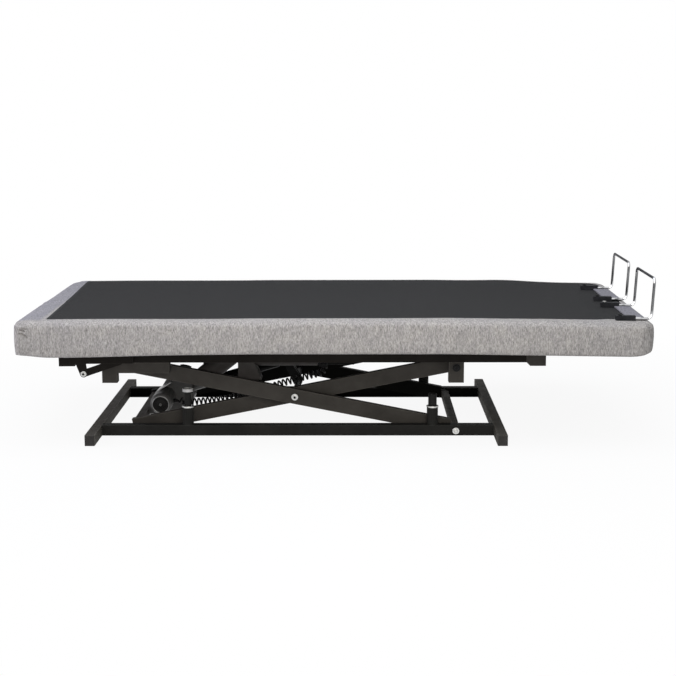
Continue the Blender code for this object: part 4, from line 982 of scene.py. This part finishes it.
def panel_height(x, y, top):
    """The upper or lower face of the top panel, with the raised hem and the groove of its stitches."""
    z = top_height(x, y) - PANEL_SINK + PANEL_LIFT
    if not top:
        return z
    inner = max(0, inside_panel(x, y))
    z += PANEL_THICK
    groove, groove_wide = HEM_GROOVE
    z += HEM_RISE * (1 - ease(inner, over=HEM_WIDE)) - groove * hill(inner, PANEL_HEM, groove_wide)
    z -= HEM_EDGE * (1 - ease(inner, over=HEM_EDGE_WIDE))
    return z + PANEL_RIPPLE * noise.noise(Vector((x * 7, y * 7, 1.7))) * ease(inner, over=PANEL_RIPPLE_FROM)


def panel_piece(name, low, high):
    """One piece of the black top panel: a thin cloth in the cover's recess, with a hem along its outline."""
    xs = stations(
        low, high, COVER_STEP_X, (PANEL_FOOT, [-d for d in HEM_STEPS]), (PANEL_FIRST_ROW, HEM_STEPS),
    )
    rows = []
    for x in xs:
        cut = max(0, PANEL_CORNER - (PANEL_FOOT - x))
        pulled = PANEL_CORNER - math.sqrt(max(0, PANEL_CORNER ** 2 - cut ** 2)) if cut else 0
        near, far = panel_near(x) + pulled, PANEL_FAR - pulled
        row = []
        for step in range(PANEL_COUNT + 1):
            t = step / PANEL_COUNT
            bow = 0.5 - 0.5 * math.cos(math.pi * t)
            y = near + (far - near) * (0.55 * bow + 0.45 * t)
            # The rows near the head edge are set off with it, because it runs askew.
            askew = (panel_head(y) - PANEL_FIRST_ROW) * (1 - ease(x, PANEL_FIRST_ROW, PANEL_EVEN_FROM))
            row.append((x + askew, y))
        rows.append(row)

    mesh = bmesh.new()
    hem = mesh.loops.layers.uv.new("hem")
    at, _ = closed_box(
        mesh, len(xs) - 1, PANEL_COUNT, 1,
        lambda i, j, k: drooped((*rows[i][j], panel_height(*rows[i][j], k))),
    )
    spots = {vert: rows[i][j] for (i, j, _), vert in at.items()}
    for face in mesh.faces:
        for loop in face.loops:
            x, y = spots[loop.vert]
            end, side = panel_margins(x, y)
            loop[hem].uv = (y if end < side else x, inside_panel(x, y))
    area = sum(face.calc_area() for face in mesh.faces) / 2
    return built(mesh, name, top_cloth), area


def make_upholstery():
    for word, low, high, first, second, (x, z), reach, sections in (
        ("back", -DECK_END, BACK_SPLIT, "back", "carriage", BACK_HINGE, HINGE_REACH, ["back_section"]),
        ("middle", BACK_SPLIT, THIGH_SPLIT, "carriage", "thigh", THIGH_HINGE, HINGE_REACH, ["seat_section"]),
        (
            "foot", THIGH_SPLIT, DECK_END, "thigh", "foot", KNEE_HINGE, KNEE_REACH,
            ["thigh_section", "foot_section"],
        ),
    ):
        panel_low, panel_high = max(low, PANEL_FIRST_ROW), min(high, PANEL_FOOT)
        cover = cover_piece("cover_" + word, low, high)
        panel, area = panel_piece("top_panel_" + word, panel_low, panel_high)
        for piece in (cover, panel):
            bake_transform(piece)
        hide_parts(*sections)


def make_cord_ends():
    """The tapered sleeves where the cord leaves the motor and enters the control box, and the box's lid."""
    for name, place, axis, along, body in (
        ("motor_cord_sleeve", CORD_START, "X", Vector((1, 0, 0)), "inner_arms"),
        ("box_cord_sleeve", CORD_END, "Z", DOWN, "carriage"),
    ):
        sleeve = disc(name, Vector(place) + along * 0.003, axis, 0.0072, 0.006, 32)
        for inset in (0.0008, 0.0010, 0.0008):
            step_face(sleeve, along, inset, 0.003)
        finished(soften(sleeve, 0.0005), cord_black, body, "housing_black")
    lid = block("control_box_lid", (-0.083, -0.138, 0.2066), (0.063, -0.032, 0.2133))
    step_face(lid, DOWN, 0.006, 0.0015)
    finished(soften(lid, 0.0022, 3), dark_plastic, "carriage", "housing_black")


make_curly_cord()
make_upholstery()
make_cord_ends()


# Caps, bolts and other small pieces on the steel work
SIDES = (("near", -1), ("far", 1))
WASHER = 0.0016
THIN_WASHER = 0.0014
# Nuts: size, thickness and how far the bolt's end stands out; the bolt head's radius and thickness
LOW_NUT, LOW_NUT_Y = (0.0100, 0.0065, 0.004), 0.3197
CENTRE_NUT, CENTRE_NUT_Y = (0.0100, 0.0070, 0.004), 0.2797
BRACE_NUT, BRACE_NUT_Y = (0.0085, 0.0055, 0.003), 0.3384
HIGH_BOLT, HIGH_BOLT_Y = (0.0056, 0.004), 0.3167
# Caps stand back from a tube's edges, and leave a hair's gap to its end
CAP_INSET = 0.0004
CAP_THICK = 0.0030
CAP_GAP = 0.0001
ARM_CAP_OUT = 0.0016
ARM_CAP_HALF = 0.0014
# Buffers: the ring's bore, the plunger's top and the pad's radius
CUPPED_BUFFER = (0.0118, 0.1561, 0.0152)
PLAIN_BUFFER = (0.0150, 0.1381, 0.0136)
RING_Z, RING_RADIUS, RING_DEPTH = 0.0970, 0.0202, 0.0052
PAD_THICK = 0.0022
CUP_RIM_Z, CUP_RIM = 0.1526, (0.0161, 0.0176, 0.0096)
# The lift motor's end: each step of its cover as an inset and a rise; the ring's bore, radius and depth
MOTOR_COVER_RADIUS = 0.0264
MOTOR_COVER_STEPS = ((0.0058, -0.0014), (0.0042, 0.0018), (0.0050, 0.0010))
MOTOR_RING = (0.0265, 0.0296, 0.0040)
MOTOR_SCREW_RADIUS = 0.0046
# A thin light strip on the gear case that stands for a line of light along its edge: its corners, and its
# turn
MOTOR_HIGHLIGHT_STRIP = ((-0.6240, -0.1020, 0.1188), (-0.5666, -0.0452, 0.1224))
MOTOR_HIGHLIGHT_STRIP_TURN = math.radians(-34.1)
CLAMP_SCREW_RADIUS = 0.0062


def hex_nut(name, place, y, side, sizes, end_finish):
    """A nut on its washer, with the bolt's end standing out of it, on a face that looks to one side."""
    x, z = place
    size, thick, stub = sizes
    outwards = Vector((0, side, 0))
    washer = collar(name, (x, y + side * WASHER / 2, z), "Y", size * 0.36, size * 1.12, WASHER, 36)
    soften(washer, 0.0004, 1)
    nut = disc("nut", (x, y + side * (WASHER + thick / 2), z), "Y", size * 0.74, thick, 6)
    step_face(nut, outwards, size * 0.20, -thick * 0.18)
    soften(nut, size * 0.055, 2)
    long = thick + stub
    bolt = disc("bolt_end", (x, y + side * (WASHER + long / 2), z), "Y", size * 0.38, long, 24)
    soften(bolt, size * 0.08, 2)
    for piece, finish in ((washer, zinc), (nut, zinc), (bolt, end_finish)):
        painted(piece, finish)
    return smooth(join(washer, nut, bolt))


def socket_bolt(name, place, y, side, radius, thick):
    """A round bolt head with a socket in it, on a washer."""
    x, z = place
    outwards = Vector((0, side, 0))
    washer = disc(name, (x, y + side * THIN_WASHER / 2, z), "Y", radius * 1.45, THIN_WASHER, 32)
    step_face(washer, outwards, radius * 0.35, -0.0003)
    soften(washer, 0.0004, 1)
    head = disc("head", (x, y + side * (THIN_WASHER + thick / 2), z), "Y", radius, thick, 32)
    step_face(head, outwards, radius * 0.48, -thick * 0.6)
    soften(head, radius * 0.14, 3)
    return smooth(join(washer, head))


def make_bolts():
    for word, side in SIDES:
        low = hex_nut("low_pivot_nut_" + word, LOW_PIVOT, side * LOW_NUT_Y, side, LOW_NUT, zinc)
        finished(low, None, "base", "zinc")
        centre = hex_nut(
            "centre_nut_" + word, CENTRE_PIVOT, side * CENTRE_NUT_Y, side, CENTRE_NUT, black_steel,
        )
        finished(centre, None, "outer_arms", "zinc")
        high = socket_bolt("high_pivot_bolt_" + word, HIGH_PIVOT, side * HIGH_BOLT_Y, side, *HIGH_BOLT)
        finished(high, black_steel, "carriage", "frame_black")
        brace = hex_nut("brace_nut_" + word, BRACE_BOLT, side * BRACE_NUT_Y, side, BRACE_NUT, black_steel)
        finished(let_droop(brace), None, "back", "zinc")


def near_and_far(piece, name, *rest):
    """Finishes a piece of the near side and its mirrored copy on the far side."""
    twin = mirrored(piece, name)
    for each in (piece, twin):
        finished(each, *rest)


def end_caps(name, low, high, into, plug, dish, edge, body, turned=0.0):
    """Caps on a tube's near and far twin: a plug that goes into the tube, and a dished face."""
    inwards = Vector(into)
    cap = block(name.format("near"), low, high, turned)
    step_face(cap, inwards, *plug)
    step_face(cap, -inwards, *dish)
    soften(cap, edge, 3)
    near_and_far(cap, name.format("far"), cap_black, body, "frame_black")


def make_end_caps():
    wide, high = FOOT_BAR_SIZE
    for index, x in enumerate(FOOT_BARS):
        end_caps(
            f"foot_bar_cap_{{}}_{index}",
            (x - wide / 2 + CAP_INSET, -FOOT_BAR_END - CAP_THICK, CAP_INSET),
            (x + wide / 2 - CAP_INSET, -FOOT_BAR_END - CAP_GAP, high - CAP_INSET),
            (0, 1, 0), (0.0026, 0.012), (0.0045, -0.0008), 0.0010, "base",
        )
    for body, end, ys, sign in (
        ("outer_arms", OUTER_ARM_END, OUTER_ARM_Y, -1), ("inner_arms", INNER_ARM_END, INNER_ARM_Y, 1),
    ):
        x = end[0] + sign * ARM_CAP_OUT * math.cos(ARM_ANGLE)
        z = end[1] + ARM_CAP_OUT * math.sin(ARM_ANGLE)
        half = ARM_HEIGHT / 2 - CAP_INSET
        end_caps(
            body + "_cap_{}",
            (x - ARM_CAP_HALF, -ys[1] + CAP_INSET, z - half),
            (x + ARM_CAP_HALF, -ys[0] - CAP_INSET, z + half),
            (-sign, 0, 0), (0.0031, 0.010), (0.0040, -0.0007), 0.0009, body, -sign * ARM_ANGLE,
        )
    end_caps(
        "carriage_rail_cap_{}",
        (RAIL_HEAD_X - CAP_THICK, -RAIL_Y[1] + CAP_INSET, RAIL_Z[0] + CAP_INSET),
        (RAIL_HEAD_X - CAP_GAP, -RAIL_Y[0] - CAP_INSET, RAIL_Z[1] - CAP_INSET),
        (1, 0, 0), (0.0030, 0.012), (0.0045, -0.0008), 0.0010, "carriage",
    )


def make_buffer_rings():
    """The ring on each buffer's sleeve, the pad on its plunger, and the rim of the cups at the head end."""
    for word, side in SIDES:
        y = side * BUFFER_Y
        for x, place in zip(BUFFER_XS, ("head", "foot")):
            cupped = place == "head"
            bore, top, radius = CUPPED_BUFFER if cupped else PLAIN_BUFFER
            plunger = f"plunger_{word}_{place}"
            ring = collar(f"buffer_ring_{word}_{place}", (x, y, RING_Z), "Z", bore, RING_RADIUS, RING_DEPTH)
            finished(soften(ring, 0.0009), zinc, "base", "zinc")
            pad = disc(f"buffer_pad_{word}_{place}", (x, y, top + PAD_THICK / 2), "Z", radius, PAD_THICK, 40)
            step_face(pad, UP, 0.0046, -0.0010)
            finished(soften(pad, 0.0006), pale_cap if cupped else rubber, plunger, "buffer_black")
            if cupped:
                rim = collar(f"buffer_cup_rim_{word}", (x, y, CUP_RIM_Z), "Z", *CUP_RIM)
                finished(soften(rim, 0.0006), pale_cap, plunger, "buffer_black")


def make_motor_end():
    """The end cover of the lift motor with its ring and screw, and a light steel strip above it on the gear
    case, a painted highlight along the case's edge.
    """
    x, y, z = MOTOR_END
    cover = disc("motor_end_cover", (x, y - 0.0012, z), "Y", MOTOR_COVER_RADIUS, 0.0022, 56)
    for inset, rise in MOTOR_COVER_STEPS:
        step_face(cover, TO_NEAR, inset, rise, Vector(MOTOR_END))
    finished(soften(cover, 0.0004), dark_plastic, "inner_arms", "housing_black")
    ring = collar("motor_end_ring", (x, y - 0.0002, z), "Y", *MOTOR_RING, 56)
    finished(soften(ring, 0.0012, 3), dull_steel, "inner_arms", "housing_black")
    screw = disc("motor_end_screw", (x, y - 0.0041, z), "Y", MOTOR_SCREW_RADIUS, 0.0030, 32)
    step_face(screw, TO_NEAR, 0.0016, -0.0012)
    finished(soften(screw, 0.0006), worn_steel, "inner_arms", "zinc")
    # Painted highlight: a thin light steel strip for the line of light along the gear case's edge
    highlight_strip = block("motor_highlight_strip", *MOTOR_HIGHLIGHT_STRIP, MOTOR_HIGHLIGHT_STRIP_TURN)
    step_face(highlight_strip, TO_NEAR, 0.0009, 0.0006)
    finished(soften(highlight_strip, 0.0006), dull_steel, "inner_arms", "housing_black")


def make_arm_pads():
    """The rounded rubber pad on top of each outer arm."""
    low, high = ([a + sign * b / 2 for a, b in zip(ARM_PAD, ARM_PAD_SIZE)] for sign in (-1, 1))
    pad = block("arm_pad_near", low, high, ARM_ANGLE)
    step_face(pad, UP, 0.0062, 0.0030)
    soften(pad, 0.0030, 4)
    near_and_far(pad, "arm_pad_far", rubber, "outer_arms", "buffer_black")


def make_clamp_screws():
    """The screw on top of each clamp that holds its loop; one of them is light steel, the others black."""
    for index, y in enumerate(CLAMP_YS):
        place = (CLAMP_SCREW_X, y, CLAMP_TOP + 0.0022)
        screw = disc(f"clamp_screw_{index}", place, "Z", CLAMP_SCREW_RADIUS, 0.0040, 32)
        step_face(screw, UP, 0.0026, -0.0018)
        soften(screw, 0.0008, 2)
        finished(let_droop(screw), dull_steel if index == 1 else black_steel, "foot", "zinc")


make_bolts()
make_clamp_screws()
make_end_caps()
make_buffer_rings()
make_motor_end()
make_arm_pads()


# Finishes of the CAD pieces, by how their names start; the later line wins
finish_of = (
    (frame_paint, ("",)),
    # Painted shade: the floor rails and buffer sleeves get the darker copy of the frame paint
    (low_shaded_paint, ("base_rail_", "buffer_sleeve_")),
    # Painted shade: the carriage rails and back brace get the darker copy of the frame paint
    (under_deck_shaded_paint, ("carriage_rail_", "back_brace_")),
    # Painted shade: the far side and the carriage's head tube get the much darker copy of the frame paint
    (deep_shaded_paint, ("outer_arm_far", "inner_arm_far", "base_rail_far", "carriage_rail_far")),
    (deep_shaded_paint, ("carriage_head_tube",)),
    (zinc, ("lower_pivot_bolt_",)),
    (black_steel, ("upper_pivot_shaft", "scissor_centre_shaft", "lift_crank", "back_crank", "thigh_crank")),
    (rod_steel, ("lift_rod", "back_rod")),
    (black_steel, ("leg_rod",)),
    (chrome, ("retainer_loop_",)),
    (retainer_grey, ("retainer_plate_",)),
    (roller_black, ("upper_roller_", "lower_roller_")),
    (rubber, ("buffer_plunger_",)),
    # Painted light: the cross feet and the outer arms' cross tube get the lighter copy of the frame paint
    (lit_copy_paint, ("base_foot_", "outer_arm_cross_tube")),
    # Painted light: the lift motor and gear case get the lighter grey plastic
    (motor_lit_black, ("lift_actuator", "lift_motor")),
    (dark_plastic, ("back_actuator", "control_box")),
    (leg_motor_black, ("leg_actuator",)),
    # Painted shade: the leg actuator hanger gets the darker copy of the frame paint
    (under_deck_shaded_paint, ("leg_actuator_hanger",)),
    (cover_tweed, ("back_section", "seat_section", "thigh_section", "foot_section")),
    (cord_black, ("curly_cord",)),
)
for finish, starts in finish_of:
    for name, node in nodes.items():
        if name.startswith(starts):
            painted(node, finish)


# Studio: a pale floor and a white surround with soft lamps
SURROUND_TINT = (0.96, 0.97, 1.0, 1)
SURROUND_LIGHT = 0.36
FLOOR_SIZE = 24
FLOOR_Z = -0.0005
FLOOR_GREY = (0.70, 0.70, 0.70, 1)
# The floor is plain white further off, and shows the object's shadow near it
FLOOR_GLOW = {"From Min": 0.7, "From Max": 2.3, "To Min": 0.92, "To Max": 1.0}
# Each lamp's place, where it points, its width in metres, its watts and its colour
LAMPS = (
    ("lamp_above", (-0.1, -0.7, 3.4), (-0.1, 0, 0.3), 3.2, 99, (0.87, 0.915, 1.0)),
    ("lamp_front", (0.1, -2.5, 1.2), (0, 0, 0.25), 1.7, 25.5, (1, 0.955, 0.900)),
    ("lamp_head_side", (-3.8, -0.55, 1.7), (-0.6, 0, 0.3), 1.8, 60, (0.88, 0.85, 1.0)),
)


def white_where_seen(graph, plain, bright):
    """What is seen straight, mirrored or through glass is bright, and what lights the object is plain."""
    path = graph.add("ShaderNodeLightPath").outputs
    seen = path["Is Camera Ray"]
    for name in ("Is Glossy Ray", "Is Transmission Ray"):
        seen = graph.add("ShaderNodeMath", {0: seen, 1: path[name]}, operation="MAXIMUM").outputs[0]
    return graph.add("ShaderNodeMixShader", {0: seen, 1: plain, 2: bright}).outputs[0]


def make_surround():
    world = scene.world or bpy.data.worlds.new("studio")
    scene.world = world
    graph = Nodes(world)
    graph.tree.nodes.clear()
    plain = graph.add("ShaderNodeBackground", {"Color": SURROUND_TINT, "Strength": SURROUND_LIGHT}).outputs[0]
    bright = graph.add("ShaderNodeBackground", {"Color": (1, 1, 1, 1), "Strength": 1.0}).outputs[0]
    graph.add("ShaderNodeOutputWorld", {"Surface": white_where_seen(graph, plain, bright)})


def make_floor():
    bpy.ops.mesh.primitive_plane_add(size=FLOOR_SIZE, location=(0, 0, FLOOR_Z))
    floor = settle(bpy.context.object, "floor")
    bpy.ops.object.mode_set(mode="EDIT")
    bpy.ops.mesh.subdivide(number_cuts=3)
    bpy.ops.object.mode_set(mode="OBJECT")
    material = bpy.data.materials.new("pale_floor")
    graph = Nodes(material)
    graph.tree.nodes.clear()
    plain = graph.add("ShaderNodeBsdfDiffuse", {"Color": FLOOR_GREY}).outputs[0]
    glow = graph.add("ShaderNodeEmission", {"Strength": 1.0}).outputs[0]
    place = graph.add("ShaderNodeTexCoord").outputs["Object"]
    away = graph.add("ShaderNodeVectorMath", {0: place}, operation="LENGTH").outputs["Value"]
    share = graph.add("ShaderNodeMapRange", {"Value": away, **FLOOR_GLOW}, interpolation_type="SMOOTHSTEP")
    shadowed = graph.add("ShaderNodeMixShader", {0: share.outputs["Result"], 1: plain, 2: glow}).outputs[0]
    graph.add("ShaderNodeOutputMaterial", {"Surface": white_where_seen(graph, plain, shadowed)})
    floor.data.materials.append(material)


def make_lamps():
    for name, place, aim, size, watts, colour in LAMPS:
        turned = (Vector(aim) - Vector(place)).to_track_quat("-Z", "Y").to_euler()
        bpy.ops.object.light_add(type="AREA", location=place, rotation=turned)
        lamp = bpy.context.object
        lamp.name = name
        lamp.data.size = size
        lamp.data.energy = watts
        lamp.data.color = colour


make_surround()
make_floor()
make_lamps()
scene.view_settings.view_transform = "Standard"
